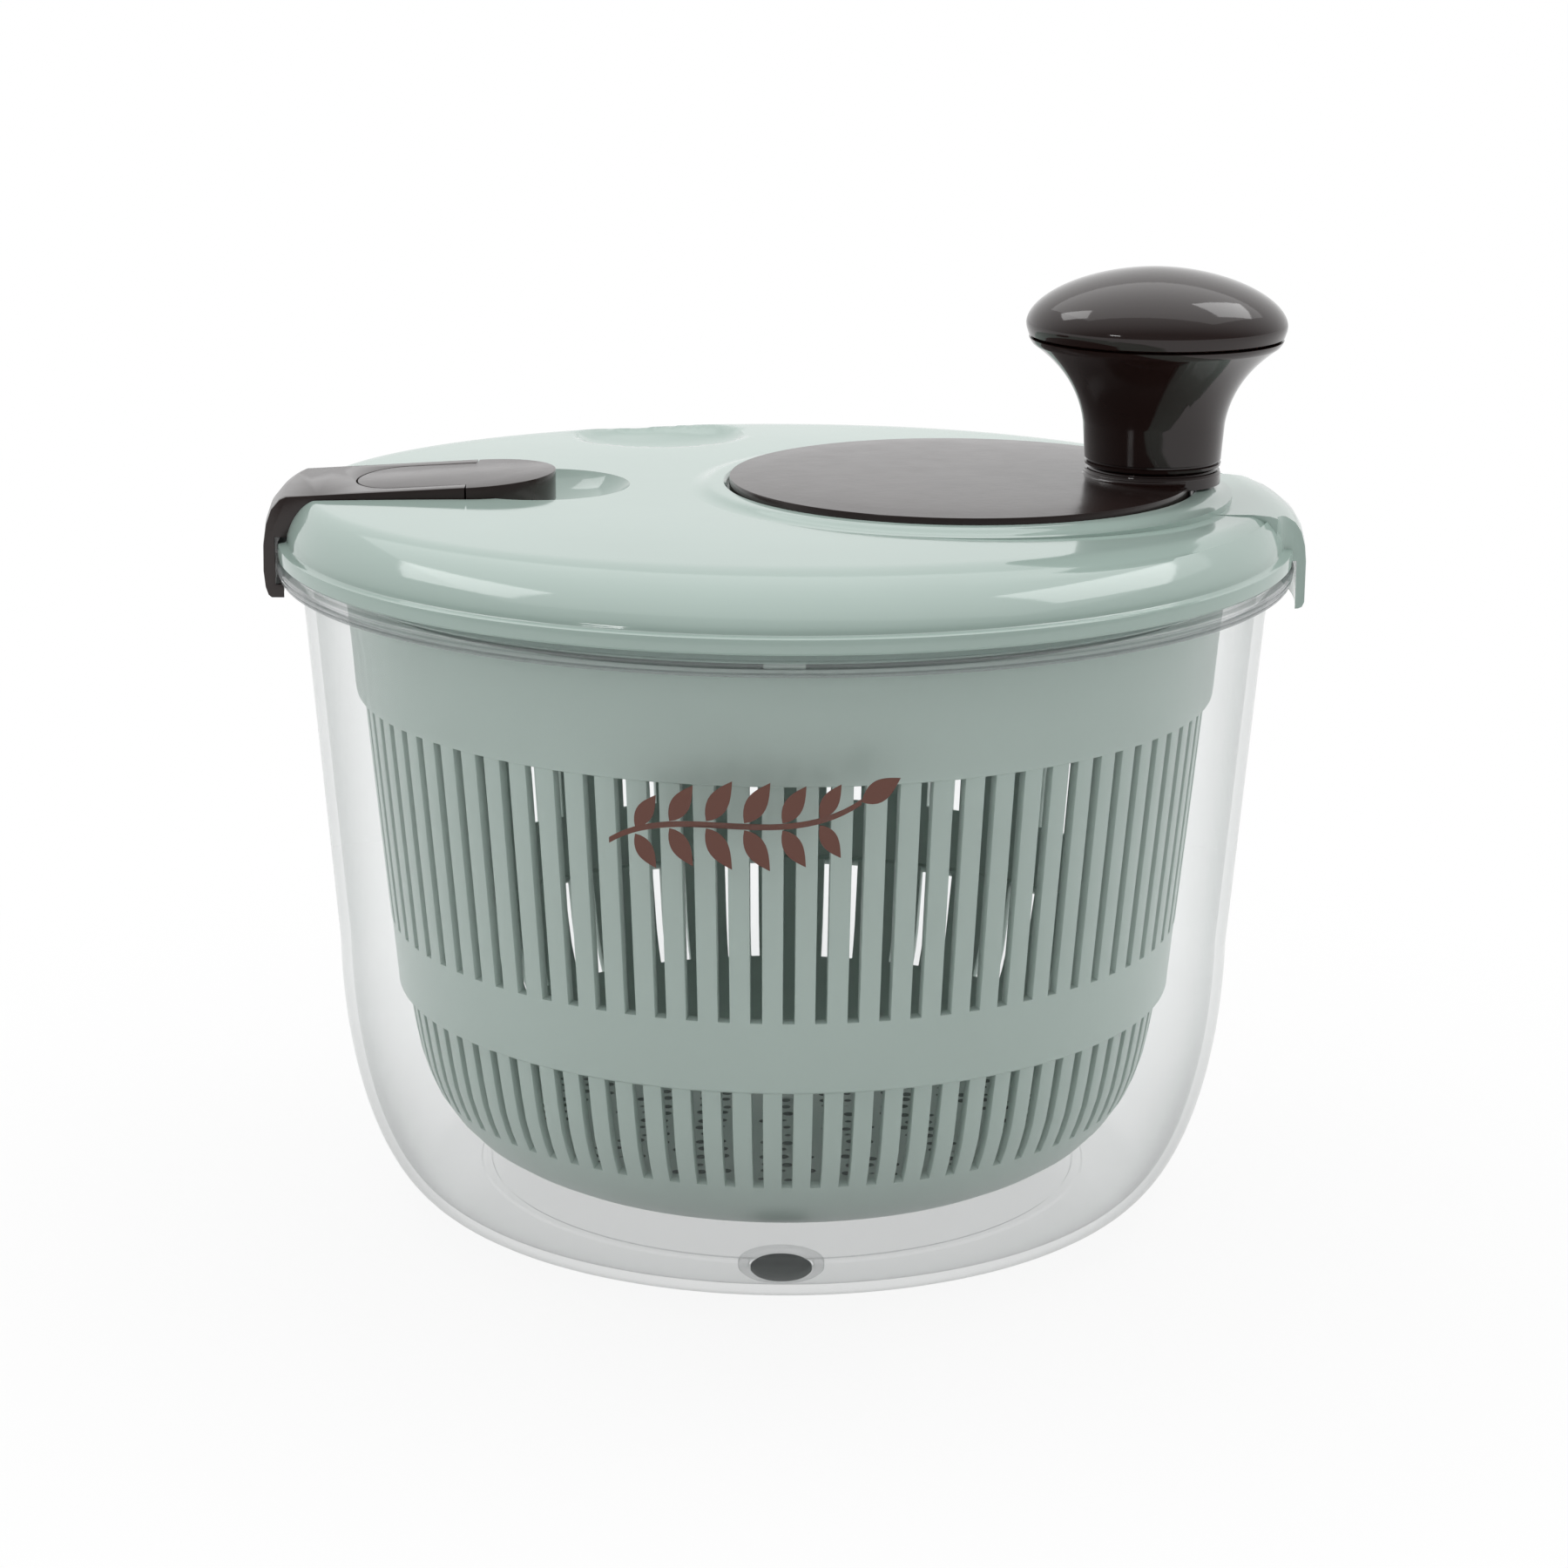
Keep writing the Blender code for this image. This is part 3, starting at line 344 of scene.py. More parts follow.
def make_floor():
    """White paper that keeps the object's soft shadow close to its base."""
    reach, shadow_from, shadow_to, shadow_paling = 14.0, 0.09, 0.26, 0.9
    bpy.ops.mesh.primitive_circle_add(vertices=96, radius=reach, fill_type="NGON")
    floor = bpy.context.active_object
    floor.name = "floor"
    finish = Finish("floor_paper")
    seen, glossy, through = finish.rays()
    paper = finish.node("BsdfDiffuse", {}, {"Color": (0.9, 0.9, 0.9, 1)})
    white = finish.node("Emission", {}, {"Color": (1, 1, 1, 1), "Strength": 1.0})
    away = finish.node("VectorMath", {"operation": "LENGTH"}, {0: finish.place()}, "Value")
    paling = finish.ramp(away, shadow_from, shadow_to, shadow_paling, 1.0,
                         interpolation_type="SMOOTHSTEP")
    share = (seen + through + glossy * 0.7) * paling
    shader = finish.node("MixShader", {}, {0: share, 1: paper, 2: white})
    floor.data.materials.append(finish.show(shader))


make_world()
make_floor()
bpy.context.scene.view_settings.view_transform = "Standard"

SATIN_MINT = linear(190, 206, 199)
AQUA = plastic("aqua_plastic", linear(176, 196, 188), 0.07, 0.02)
AQUA_SATIN = plastic("aqua_satin", SATIN_MINT, 0.32, 0.06)
# The basket floor's holes are painted in the darker colour, as shade.
AQUA_PIERCED = pierced("aqua_pierced", SATIN_MINT, linear(84, 96, 92))
BROWN = plastic("brown_plastic", linear(38, 25, 23), 0.07)
BROWN_SATIN = plastic("brown_satin", linear(46, 35, 33), 0.2, 0.08)
CLEAR = clear_plastic("clear_plastic", linear(226, 229, 229), 0.012, 0.05)
# Painted reflection: the flange's clear plastic is a darker, denser grey copy of the bowl's, for
# the dark of its chrome-like reflections.
CLEAR_RIM_PAINTED_REFLECTION = clear_plastic("clear_rim_painted_reflection", linear(178, 182, 183), 0.3, 0.4)
NYLON = plastic("white_nylon", linear(232, 230, 222), 0.4)
RUBBER = plastic("grey_rubber", linear(44, 48, 50), 0.6, 0.15)
STEEL = metal("screw_steel", (0.6, 0.6, 0.62, 1), 0.25)
PRINT = plastic("print_ink", linear(106, 62, 48), 0.35)


# ---------------------------------------------------------------- modelling by operators

MERGE = 0.000002


def edit(obj=None):
    """Opens edit mode, on obj where one is given."""
    if obj:
        bpy.context.view_layer.objects.active = obj
        obj.select_set(True)
    bpy.ops.object.mode_set(mode="EDIT")


def close_edit():
    """Merges seams, turns the faces outwards and leaves edit mode."""
    bpy.ops.mesh.select_all(action="SELECT")
    bpy.ops.mesh.remove_doubles(threshold=MERGE)
    bpy.ops.mesh.normals_make_consistent(inside=False)
    bpy.ops.object.mode_set(mode="OBJECT")


def settle(name):
    """Names the active object and moves its place into its mesh."""
    obj = bpy.context.active_object
    obj.name = obj.data.name = name
    bpy.ops.object.transform_apply(location=True, rotation=True, scale=True)
    bpy.ops.object.select_all(action="DESELECT")
    return obj


def turned(name, profile, steps=96, centre=(0, 0)):
    """Turns a profile of (radius, height), or (radius x, radius y, height), about the upright
    through centre. A ring is drawn out from the first point to each next one. The ends close at
    the axis, or, where the last point repeats the first, into each other."""
    rows = [(row[0], row[0], row[1]) if len(row) == 2 else row for row in profile]
    start = rows[0]
    capped = start[0] == 0
    if capped:
        rows = rows[1:]
        start = rows[0]
    place = (centre[0] * MM, centre[1] * MM, start[2] * MM)
    bpy.ops.mesh.primitive_circle_add(vertices=steps, radius=start[0] * MM, location=place,
                                      fill_type="TRIFAN" if capped else "NOTHING")
    edit()
    if start[0] != start[1]:
        bpy.ops.transform.resize(value=(1, start[1] / start[0], 1), center_override=place)
    if capped:
        bpy.ops.mesh.select_all(action="SELECT")
        bpy.ops.mesh.region_to_loop()
    for before, row in zip(rows, rows[1:]):
        rise = (0, 0, (row[2] - before[2]) * MM)
        bpy.ops.mesh.extrude_edges_move(TRANSFORM_OT_translate={"value": rise})
        if row[0] == 0:
            bpy.ops.mesh.merge(type="CENTER")
        else:
            bpy.ops.transform.resize(value=(row[0] / before[0], row[1] / before[1], 1),
                                     center_override=(place[0], place[1], row[2] * MM))
    close_edit()
    return settle(name)


def outline_solid(name, outline, low, high, upright=False):
    """A flat outline drawn as a loop, filled, and pulled out from low to high: along Z, or along Y
    when the outline is (x, z)."""
    bpy.ops.mesh.primitive_circle_add(vertices=len(outline), radius=0.01)
    obj = bpy.context.active_object
    for vertex, (across, up) in zip(obj.data.vertices, outline):
        place = (across, low, up) if upright else (across, up, low)
        vertex.co = [value * MM for value in place]
    edit()
    bpy.ops.mesh.select_all(action="SELECT")
    bpy.ops.mesh.edge_face_add()
    pull = (high - low) * MM
    move = (0, pull, 0) if upright else (0, 0, pull)
    bpy.ops.mesh.extrude_region_move(TRANSFORM_OT_translate={"value": move})
    close_edit()
    return settle(name)


def block(name, low, high):
    place = [(a + b) / 2 * MM for a, b in zip(low, high)]
    bpy.ops.mesh.primitive_cube_add(size=1, location=place)
    bpy.context.active_object.scale = [(b - a) * MM for a, b in zip(low, high)]
    return settle(name)


def ball(name, centre, radii):
    bpy.ops.mesh.primitive_uv_sphere_add(segments=96, ring_count=48, radius=1,
                                         location=[value * MM for value in centre])
    bpy.context.active_object.scale = [value * MM for value in radii]
    return settle(name)


def apply(obj, kind, **settings):
    """Adds a modifier and applies it."""
    bpy.ops.object.select_all(action="DESELECT")
    bpy.context.view_layer.objects.active = obj
    obj.select_set(True)
    modifier = obj.modifiers.new(kind, kind)
    for name, value in settings.items():
        setattr(modifier, name, value)
    bpy.ops.object.modifier_apply(modifier=modifier.name)
    obj.select_set(False)


def combine(obj, operation, *others):
    for other in others:
        apply(obj, "BOOLEAN", operation=operation, object=other, solver="EXACT")
        bpy.data.objects.remove(other)


def cut(obj, *others):
    combine(obj, "DIFFERENCE", *others)


def join(obj, *others):
    combine(obj, "UNION", *others)


def soften(obj, width, angle=35, segments=3):
    """Rounds the hard edges."""
    apply(obj, "BEVEL", width=width * MM, segments=segments, limit_method="ANGLE",
          angle_limit=math.radians(angle), harden_normals=False)


def finish_piece(obj, material, body, angle=35, nodes=()):
    """Gives a piece its material, smooth shading, body and the CAD nodes it stands for."""
    obj.data.materials.clear()
    obj.data.materials.append(material)
    bpy.ops.object.select_all(action="DESELECT")
    bpy.context.view_layer.objects.active = obj
    obj.select_set(True)
    bpy.ops.object.shade_smooth_by_angle(angle=math.radians(angle))
    obj.select_set(False)
    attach(obj, body)
    if nodes:
        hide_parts(*nodes)


def arc(centre, radius, start, stop, count):
    """Points on an arc. The radius may be a pair, and angles are in degrees."""
    across, up = radius if isinstance(radius, tuple) else (radius, radius)
    turns = [math.radians(start + (stop - start) * i / (count - 1)) for i in range(count)]
    return [(centre[0] + across * math.cos(turn), centre[1] + up * math.sin(turn))
            for turn in turns]


def bezier(first, second, third, last, count):
    """Points on a curve from first to last, drawn towards the two between."""
    guides = (first, second, third, last)
    points = []
    for i in range(count):
        t = i / (count - 1)
        s = 1 - t
        weights = (s ** 3, 3 * s * s * t, 3 * s * t * t, t ** 3)
        points.append(tuple(sum(w * p[k] for w, p in zip(weights, guides)) for k in (0, 1)))
    return points


def disc(radius, high, low):
    """The profile of a plain disc."""
    return [(0, high), (radius, high), (radius, low), (0, low)]


# ---------------------------------------------------------------- bowl

def bowl_round(inset, count):
    """The round base between the straight wall and the flat floor, set in by a wall."""
    size = (WAIST_RADIUS - FLOOR_RADIUS - inset, WAIST_Z - FLOOR_Z - inset)
    return arc((FLOOR_RADIUS, WAIST_Z), size, 0, -90, count)


def wall_radius(height):
    """The bowl's outside radius on its straight wall."""
    share = (height - WAIST_Z) / (FLANGE_LOW - WAIST_Z)
    return WAIST_RADIUS + (WALL_RADIUS - WAIST_RADIUS) * share


FLANGE_LINES = ((0.0, 0.9), (0.05, 1.25), (0.6, 1.45), (0.6, 1.6), (0.15, 1.8), (0.1, 2.1),
                (0.25, 2.4), (0.9, 2.6), (0.9, 2.75), (0.5, 2.95), (0.5, 3.25), (0.8, 3.5),
                (1.6, 3.5), (2.0, 3.3), (3.2, 3.3), (3.9, 3.5))
PIVOT_RISE = 10.1
PIVOT_RADIUS = 3.2


def make_bowl():
    inside = WALL_RADIUS - BOWL_WALL
    floor = FLOOR_Z + BOWL_WALL
    profile = [(0, floor), (20, floor), (57.4, floor), (57.8, floor + 0.5), (59.4, floor + 0.5),
               (59.8, floor)]
    profile += list(reversed(bowl_round(BOWL_WALL, 24)))
    profile += [(inside, FLANGE_LOW - 1), (inside, FLANGE_TOP - 0.4), (inside + 0.4, FLANGE_TOP)]
    profile += [(FLANGE_RADIUS - 2.4, FLANGE_TOP), (FLANGE_RADIUS - 1.8, FLANGE_TOP - 0.8)]
    profile += [(FLANGE_RADIUS - 0.4, FLANGE_TOP - 0.9), (FLANGE_RADIUS, FLANGE_TOP - 1.2)]
    profile += [(FLANGE_RADIUS - depth, FLANGE_TOP - 0.3 - drop * 0.92)
                for depth, drop in FLANGE_LINES]
    profile += [(WALL_RADIUS, FLANGE_LOW - 0.6)]
    profile += bowl_round(0, 24) + [(20, FLOOR_Z), (0, FLOOR_Z)]
    bowl = turned("bowl_shell", profile, 256)
    finish_piece(bowl, CLEAR, "bowl", 30, ["bowl"])
    # The flange's outside faces take the darker copy with its painted reflection.
    bowl.data.materials.append(CLEAR_RIM_PAINTED_REFLECTION)
    for face in bowl.data.polygons:
        centre = face.center / MM
        if centre.z > FLANGE_LOW - 0.1 and math.hypot(centre.x, centre.y) > WALL_RADIUS:
            face.material_index = 1
    top = floor + PIVOT_RISE
    pivot = [(0, top), (PIVOT_RADIUS - 0.6, top), (PIVOT_RADIUS, top - 0.6),
             (PIVOT_RADIUS, floor - 0.4), (0, floor - 0.4)]
    finish_piece(turned("basket_pivot", pivot, 48), CLEAR, "bowl")
    for foot in ("foot_front", "foot_rear_right", "foot_rear_left"):
        make_foot(foot)


def make_foot(foot):
    """A rubber pad in its clear socket."""
    centre = (middle(foot, 0), middle(foot, 1))
    low, high = low_corner(foot)[2] + 0.6, FLOOR_Z + 0.4
    socket = [(6.1, high), (8.0, high), (8.0, low + 0.3), (7.7, low), (6.4, low), (6.1, low + 0.3),
              (6.1, high)]
    finish_piece(turned(foot + "_socket", socket, 48, centre), CLEAR, "bowl")
    top = high_corner(foot)[2]
    pad = [(0, top), (5.3, top), (5.7, top - 0.3), (5.7, 0.4), (5.3, 0), (3.4, 0), (3.2, 0.3),
           (0, 0.3)]
    pad = turned(foot + "_pad", pad, 48, centre)
    finish_piece(pad, RUBBER, "bowl", 35, [foot])


# ---------------------------------------------------------------- basket

SLOTS = 84
SLOT_SHARE = 0.37
SLOT_ROWS = ((99.6, 55.5), (41.65, 21.7))
FLUTES = (100.5, 115)
FLUTE_DEPTH = 0.42
NOTCHES = 6
NOTCH_HALF = 4.2
NOTCH_DEPTH = 2.8
NOTCH_SKIN = 0.36


def make_basket():
    """Turned outside, slots opened between the ribs, then given its wall and softened edges."""
    rows = [(BASKET_RADIUS, BASKET_TOP), (BASKET_RADIUS - 0.05, 117.6), (82.7, 110.0),
            (82.1, 102.0), (81.9, 100.2), (80.5, 99.7), (80.3, 97.5), (78.7, 80.0), (77.0, 62.0),
            (76.4, 55.6), (76.2, 54.9), (75.2, 44.0), (75.1, 42.4), (74.3, 41.9), (73.4, 41.6),
            (72.2, 34.0), (71.2, 29.0), (69.9, 25.0), (68.5, 21.8), (65.6, 17.4), (62.6, 14.2),
            (59.4, 12.0), (BASE_RADIUS, BASKET_BASE_Z)]
    columns = 2 * SLOTS
    basket = turned("basket_shell", rows, columns)
    pitch = 2 * math.pi / SLOTS
    for vertex in basket.data.vertices:
        radius = math.hypot(vertex.co.x, vertex.co.y)
        turn = math.atan2(vertex.co.y, vertex.co.x) % (2 * math.pi)
        column = round(turn / (pitch / 2)) % columns
        if column % 2 and FLUTES[0] * MM < vertex.co.z < FLUTES[1] * MM:
            radius -= FLUTE_DEPTH * MM
        angle = pitch * (column // 2 + (SLOT_SHARE if column % 2 else 0))
        vertex.co.x, vertex.co.y = radius * math.cos(angle), radius * math.sin(angle)
    bpy.context.tool_settings.mesh_select_mode = (False, False, True)
    edit(basket)
    bpy.ops.mesh.select_all(action="DESELECT")
    bpy.ops.object.mode_set(mode="OBJECT")
    for face in basket.data.polygons:
        turn = math.atan2(face.center.y, face.center.x) % (2 * math.pi)
        height = face.center.z / MM
        narrow = (turn % pitch) < pitch * SLOT_SHARE
        face.select = narrow and any(low < height < high for high, low in SLOT_ROWS)
    edit(basket)
    bpy.ops.mesh.delete(type="FACE")
    bpy.ops.object.mode_set(mode="OBJECT")
    bpy.context.tool_settings.mesh_select_mode = (True, False, False)
    basket.select_set(False)
    apply(basket, "SOLIDIFY", thickness=BASKET_WALL * MM, offset=-1, use_even_offset=True)
    soften(basket, 0.25, 40, 2)
    notches = []
    for index in range(NOTCHES):
        notch = block("rim_notch", (BASKET_RADIUS - 6, -NOTCH_HALF, BASKET_TOP - NOTCH_DEPTH),
                      (BASKET_RADIUS - NOTCH_SKIN, NOTCH_HALF, BASKET_TOP + 1))
        notch.rotation_euler = (0, 0, (index + 0.5) * 2 * math.pi / NOTCHES)
        notches.append(notch)
    bpy.context.view_layer.update()
    cut(basket, *notches)
    finish_piece(basket, AQUA_SATIN, "basket", 40, ["basket"])
    top, low = BASKET_BASE_Z + BASKET_WALL, BASKET_BASE_Z - 0.2
    base = [(0, top), (BASE_RADIUS - BASKET_WALL, top), (BASE_RADIUS, top - 0.6),
            (BASE_RADIUS, BASKET_BASE_Z), (BASE_RADIUS - 2.4, low), (6.5, low), (0, low)]
    plate = turned("basket_floor", base, 168)
    finish_piece(plate, AQUA_PIERCED, "basket")


# ---------------------------------------------------------------- lid

LEDGE_RADIUS = BRIM_RADIUS - 1.7
SKIRT_RADIUS = WALL_RADIUS - BOWL_WALL - 0.7
SKIRT_WALL = 1.6
ROUNDNESS = 1.55            # of the slope from the crease to the ledge: 1 is straight, 2 is round
THUMB_PLACE = (-26.0, 61.0)
THUMB_RADIUS = 17.0
THUMB_DEPTH = 3.0
SLOPE_FROM_X = 25
SLOPE_LENGTH = 66
SLOPE_DROP = 1.1
LUG_ROUND = 6.5


def shoulder(inner_x, inner_y, edge, high, low, count):
    """Oval rings from the crease, down a convex slope, to a circular edge."""
    rings = []
    for i in range(count):
        out = math.cos(math.radians(90 * (1 - i / (count - 1))))
        rise = (1 - out ** ROUNDNESS) ** 0.645
        rings.append((inner_x + (edge - inner_x) * out, inner_y + (edge - inner_y) * out,
                      low + (high - low) * rise))
    return rings


def channel(name, margin, low, high):
    """The lever's channel, with its round inner end."""
    half = LEVER_HALF + 0.6 + margin
    tip = LEVER_TIP_X - LEVER_HALF
    past_edge = -BRIM_RADIUS - 24
    outline = arc((tip, 0), half, -90, 90, 41) + [(past_edge, half), (past_edge, -half)]
    return outline_solid(name, outline, low, high)


def thumb_dip(x, y):
    """How far the thumb dimple, a soft round hollow, lowers the lid's top."""
    away = math.hypot(x - THUMB_PLACE[0], y - THUMB_PLACE[1]) / THUMB_RADIUS
    return THUMB_DEPTH * (1 - away * away) ** 0.6 if away < 1 else 0.0


def press_top(lid):
    """Presses in the thumb dimple and lets the outside fall a little towards the lug."""
    for vertex in lid.data.vertices:
        x, y, z = vertex.co / MM
        if z > CEILING - 1:
            vertex.co.z -= thumb_dip(x, y) * (1.2 if z > CEILING + 1 else 1.0) * MM
        if z > max(CEILING + 1, BRIM_TOP + 0.6) and x > SLOPE_FROM_X:
            share = (z - BRIM_TOP) / (LID_TOP - BRIM_TOP)
            along = (x - SLOPE_FROM_X) / SLOPE_LENGTH
            vertex.co.z -= SLOPE_DROP * along ** 1.6 * share * MM


def lid_rows():
    """The lid's wall, from the middle of its top, over the brim and skirt, to its ceiling."""
    rows = []
    steps = 60
    for i in range(steps + 1):
        t = i / steps
        fall = CREASE_FALL * max(0.0, (t - 0.5) / 0.5) ** 2
        rows.append((CREASE[0] * t, CREASE[1] * t, LID_TOP - fall))
    rows += shoulder(*CREASE, LEDGE_RADIUS, CREASE_Z, BRIM_TOP + 0.5, 22)[1:]
    inner = SKIRT_RADIUS - SKIRT_WALL
    edge = [(LEDGE_RADIUS + 0.1, BRIM_TOP + 0.25), (LEDGE_RADIUS + 0.4, BRIM_TOP + 0.05),
            (BRIM_RADIUS - 0.7, BRIM_TOP), (BRIM_RADIUS - 0.15, BRIM_TOP - 0.2),
            (BRIM_RADIUS, BRIM_TOP - 0.7), (BRIM_RADIUS, BRIM_LOW + 0.4),
            (BRIM_RADIUS - 0.4, BRIM_LOW), (SKIRT_RADIUS, BRIM_LOW), (SKIRT_RADIUS, BRIM_LOW - 2.6),
            (SKIRT_RADIUS - 0.4, BRIM_LOW - 3), (inner, BRIM_LOW - 3), (inner, BRIM_TOP)]
    rows += [(radius, radius, height) for radius, height in edge]
    inside = (CREASE[0] - 5, CREASE[1] - 5)
    rows += list(reversed(shoulder(*inside, inner, CEILING, BRIM_TOP, 8)))[1:]
    steps = 36
    rows += [(inside[0] * t / steps, inside[1] * t / steps, CEILING)
             for t in range(steps - 1, -1, -1)]
    return rows


def make_lug():
    """The tab at the lid's right end, hollow over the bowl's flange."""
    reach = LUG_REACH - 1.6
    start = -LUG_HALF_WIDTH - LUG_ROUND
    plan = [(CREASE[0] - 14, start)] + arc((reach - 1.2, start), LUG_ROUND, 180, 90, 16)
    plan += [(reach + 2, -LUG_HALF_WIDTH)]
    plan += [(x, -y) for x, y in reversed(plan)]
    lug = outline_solid("lug", plan, LUG_LOW, LID_TOP)
    top = LID_TOP - SLOPE_DROP
    end = [(0, top), (reach - 9.4, top), (reach - 6.4, top - 0.3), (reach - 4.0, top - 1.1),
           (reach - 2.2, top - 2.5), (reach - 1.0, top - 4.4), (reach - 0.3, top - 7.0),
           (reach, top - 10.0), (reach, LUG_LOW + 1.2), (reach - 0.4, LUG_LOW + 0.3),
           (reach - 1.1, LUG_LOW), (0, LUG_LOW)]
    combine(lug, "INTERSECT", turned("lug_end", end, 256))
    cut(lug, turned("flange_room", disc(FLANGE_RADIUS + 0.5, BRIM_LOW + 0.5, LUG_LOW - 5), 200))
    return lug


def make_lid():
    lid = turned("lid_shell", lid_rows(), 320)
    press_top(lid)
    under_skin = LID_TOP - 1.2
    tray = channel("channel_tray", CHANNEL_WALL, CHANNEL_Z - CHANNEL_WALL, under_skin)
    scoop = (LEVER_TIP_X - 2.9, 0, LID_TOP + 6)
    width, depth = (LEVER_HALF + 1.4) / 0.877, 12.5
    outer = width + CHANNEL_WALL
    join(tray, ball("scoop_wall", scoop, (outer, outer, depth + CHANNEL_WALL)))
    keep = turned("tray_keep", disc(SKIRT_RADIUS - 1.2, under_skin, CHANNEL_Z - 5), 128)
    combine(tray, "INTERSECT", keep)
    join(lid, tray, make_lug())
    cut(lid, channel("lever_channel", 0, CHANNEL_Z, LID_TOP + 20))
    cut(lid, ball("finger_scoop", scoop, (width, width, depth)))
    crank = (CRANK_X, 0)
    cut(lid, turned("recess", disc(RECESS_RADIUS + 2, LID_TOP + 5, RECESS_Z), 160, crank))
    cut(lid, turned("crank_bore", disc(CRANK_BORE, LID_TOP, CEILING - 2), 48, crank))
    finish_piece(lid, AQUA, "lid", 32, ["lid_cover"])
    foot, root = LID_TOP - 0.02, LID_TOP - 2.2
    collar = [(RECESS_RADIUS, RECESS_Z - 0.2), (RECESS_RADIUS, COLLAR_TOP - 0.5),
              (RECESS_RADIUS + 0.5, COLLAR_TOP), (COLLAR_RADIUS - 3.6, COLLAR_TOP)]
    collar += bezier((COLLAR_RADIUS - 3.2, COLLAR_TOP - 0.03),
                     (COLLAR_RADIUS - 1.8, COLLAR_TOP - 0.1),
                     (COLLAR_RADIUS - 1.6, foot + 0.1), (COLLAR_RADIUS + 1.2, foot), 10)
    collar += [(COLLAR_RADIUS + 1.2, root), (RECESS_RADIUS, root), (RECESS_RADIUS, RECESS_Z - 0.2)]
    collar = turned("lid_collar", collar, 160, crank)
    finish_piece(collar, AQUA, "lid", 40)


# ---------------------------------------------------------------- crank and knob

def make_crank():
    crank, knob = (CRANK_X, 0), (KNOB_X, 0)
    hub_low = CEILING - 1.2
    profile = [(0, DISC_EDGE + 0.6)]
    profile += arc((0, DISC_EDGE - 0.4), (DISC_RADIUS - 0.6, 1.0), 88, 24, 16)
    profile += [(DISC_RADIUS - 0.1, DISC_EDGE - 0.25), (DISC_RADIUS, DISC_EDGE - 0.6),
                (DISC_RADIUS, DISC_LOW + 0.3), (DISC_RADIUS - 0.3, DISC_LOW)]
    profile += [(HUB_RADIUS, DISC_LOW), (HUB_RADIUS, hub_low), (0, hub_low)]
    plate = turned("crank_plate", profile, 160, crank)
    finish_piece(plate, BROWN_SATIN, "crank", 35, ["crank_disc"])
    low = COLLAR_TOP + 0.4
    boss = [(0, BOSS_TOP), (BOSS_RADIUS - 0.9, BOSS_TOP), (BOSS_RADIUS - 0.7, BOSS_TOP - 0.35),
            (BOSS_RADIUS - 0.2, BOSS_TOP - 0.4), (BOSS_RADIUS - 0.1, BOSS_TOP - 0.9),
            (BOSS_RADIUS, BOSS_TOP - 1.0), (BOSS_RADIUS, low), (0, low)]
    finish_piece(turned("knob_boss", boss, 96, knob), BROWN, "crank")
    rise, spread = BOSS_TOP - 1.1, BOSS_RADIUS + 5
    flare = [(0, rise), (BOSS_RADIUS - 0.3, rise)]
    flare += bezier((BOSS_RADIUS, rise), (BOSS_RADIUS + 0.2, DISC_EDGE + 0.1),
                    (BOSS_RADIUS + 1.6, DISC_EDGE), (spread, DISC_EDGE - 0.3), 12)
    flare += [(spread, DISC_EDGE - 1.2), (0, DISC_EDGE - 1.2)]
    foot = turned("boss_flare", flare, 128, knob)
    room = disc(DISC_RADIUS - 0.4, BOSS_TOP + 5, DISC_LOW + 0.2)
    combine(foot, "INTERSECT", turned("disc_room", room, 160, crank))
    finish_piece(foot, BROWN, "crank")


def make_knob():
    place = (KNOB_X, 0)
    lip = KNOB_RADIUS - 0.6
    grip = [(0, KNOB_SEAM), (lip - 0.5, KNOB_SEAM), (lip, KNOB_SEAM - 0.15),
            (lip - 0.2, KNOB_SEAM - 0.6)]
    grip += bezier((lip - 0.7, KNOB_SEAM - 1.3), (lip - 4.4, KNOB_SEAM - 3.9),
                   (STEM_RADIUS + 1.7, KNOB_SEAM - 8.3), (STEM_RADIUS + 0.5, KNOB_SEAM - 16.0), 40)
    grip += [(STEM_RADIUS + 0.2, KNOB_LOW + 4.3), (STEM_RADIUS, KNOB_LOW + 1.4),
             (STEM_RADIUS - 0.5, KNOB_LOW + 1.2), (STEM_RADIUS - 0.5, KNOB_LOW + 0.9),
             (STEM_RADIUS, KNOB_LOW + 0.7), (STEM_RADIUS - 0.1, KNOB_LOW + 0.2),
             (STEM_RADIUS - 0.4, KNOB_LOW), (0, KNOB_LOW)]
    stem = turned("knob_stem", grip, 128, place)
    finish_piece(stem, BROWN, "knob", 30, ["knob_grip"])
    low = KNOB_SEAM + GAP
    edge = low + 2.2
    count = 40
    cap = [(0, KNOB_TOP)]
    for i in range(1, count):
        rise = math.sin(math.radians(90 * (1 - i / (count - 1))))
        radius = KNOB_RADIUS * max(0.0, 1 - rise ** 1.8) ** 0.54
        cap.append((radius, edge + (KNOB_TOP - edge) * rise))
    cap += [(KNOB_RADIUS - 0.08, edge - 0.7), (KNOB_RADIUS - 0.3, edge - 1.4),
            (KNOB_RADIUS - 0.5, low + 0.2), (KNOB_RADIUS - 0.9, low - 0.05), (0, low - 0.05)]
    top = turned("knob_top", cap, 128, place)
    finish_piece(top, BROWN, "knob", 30, ["knob_cap"])


# ---------------------------------------------------------------- latch

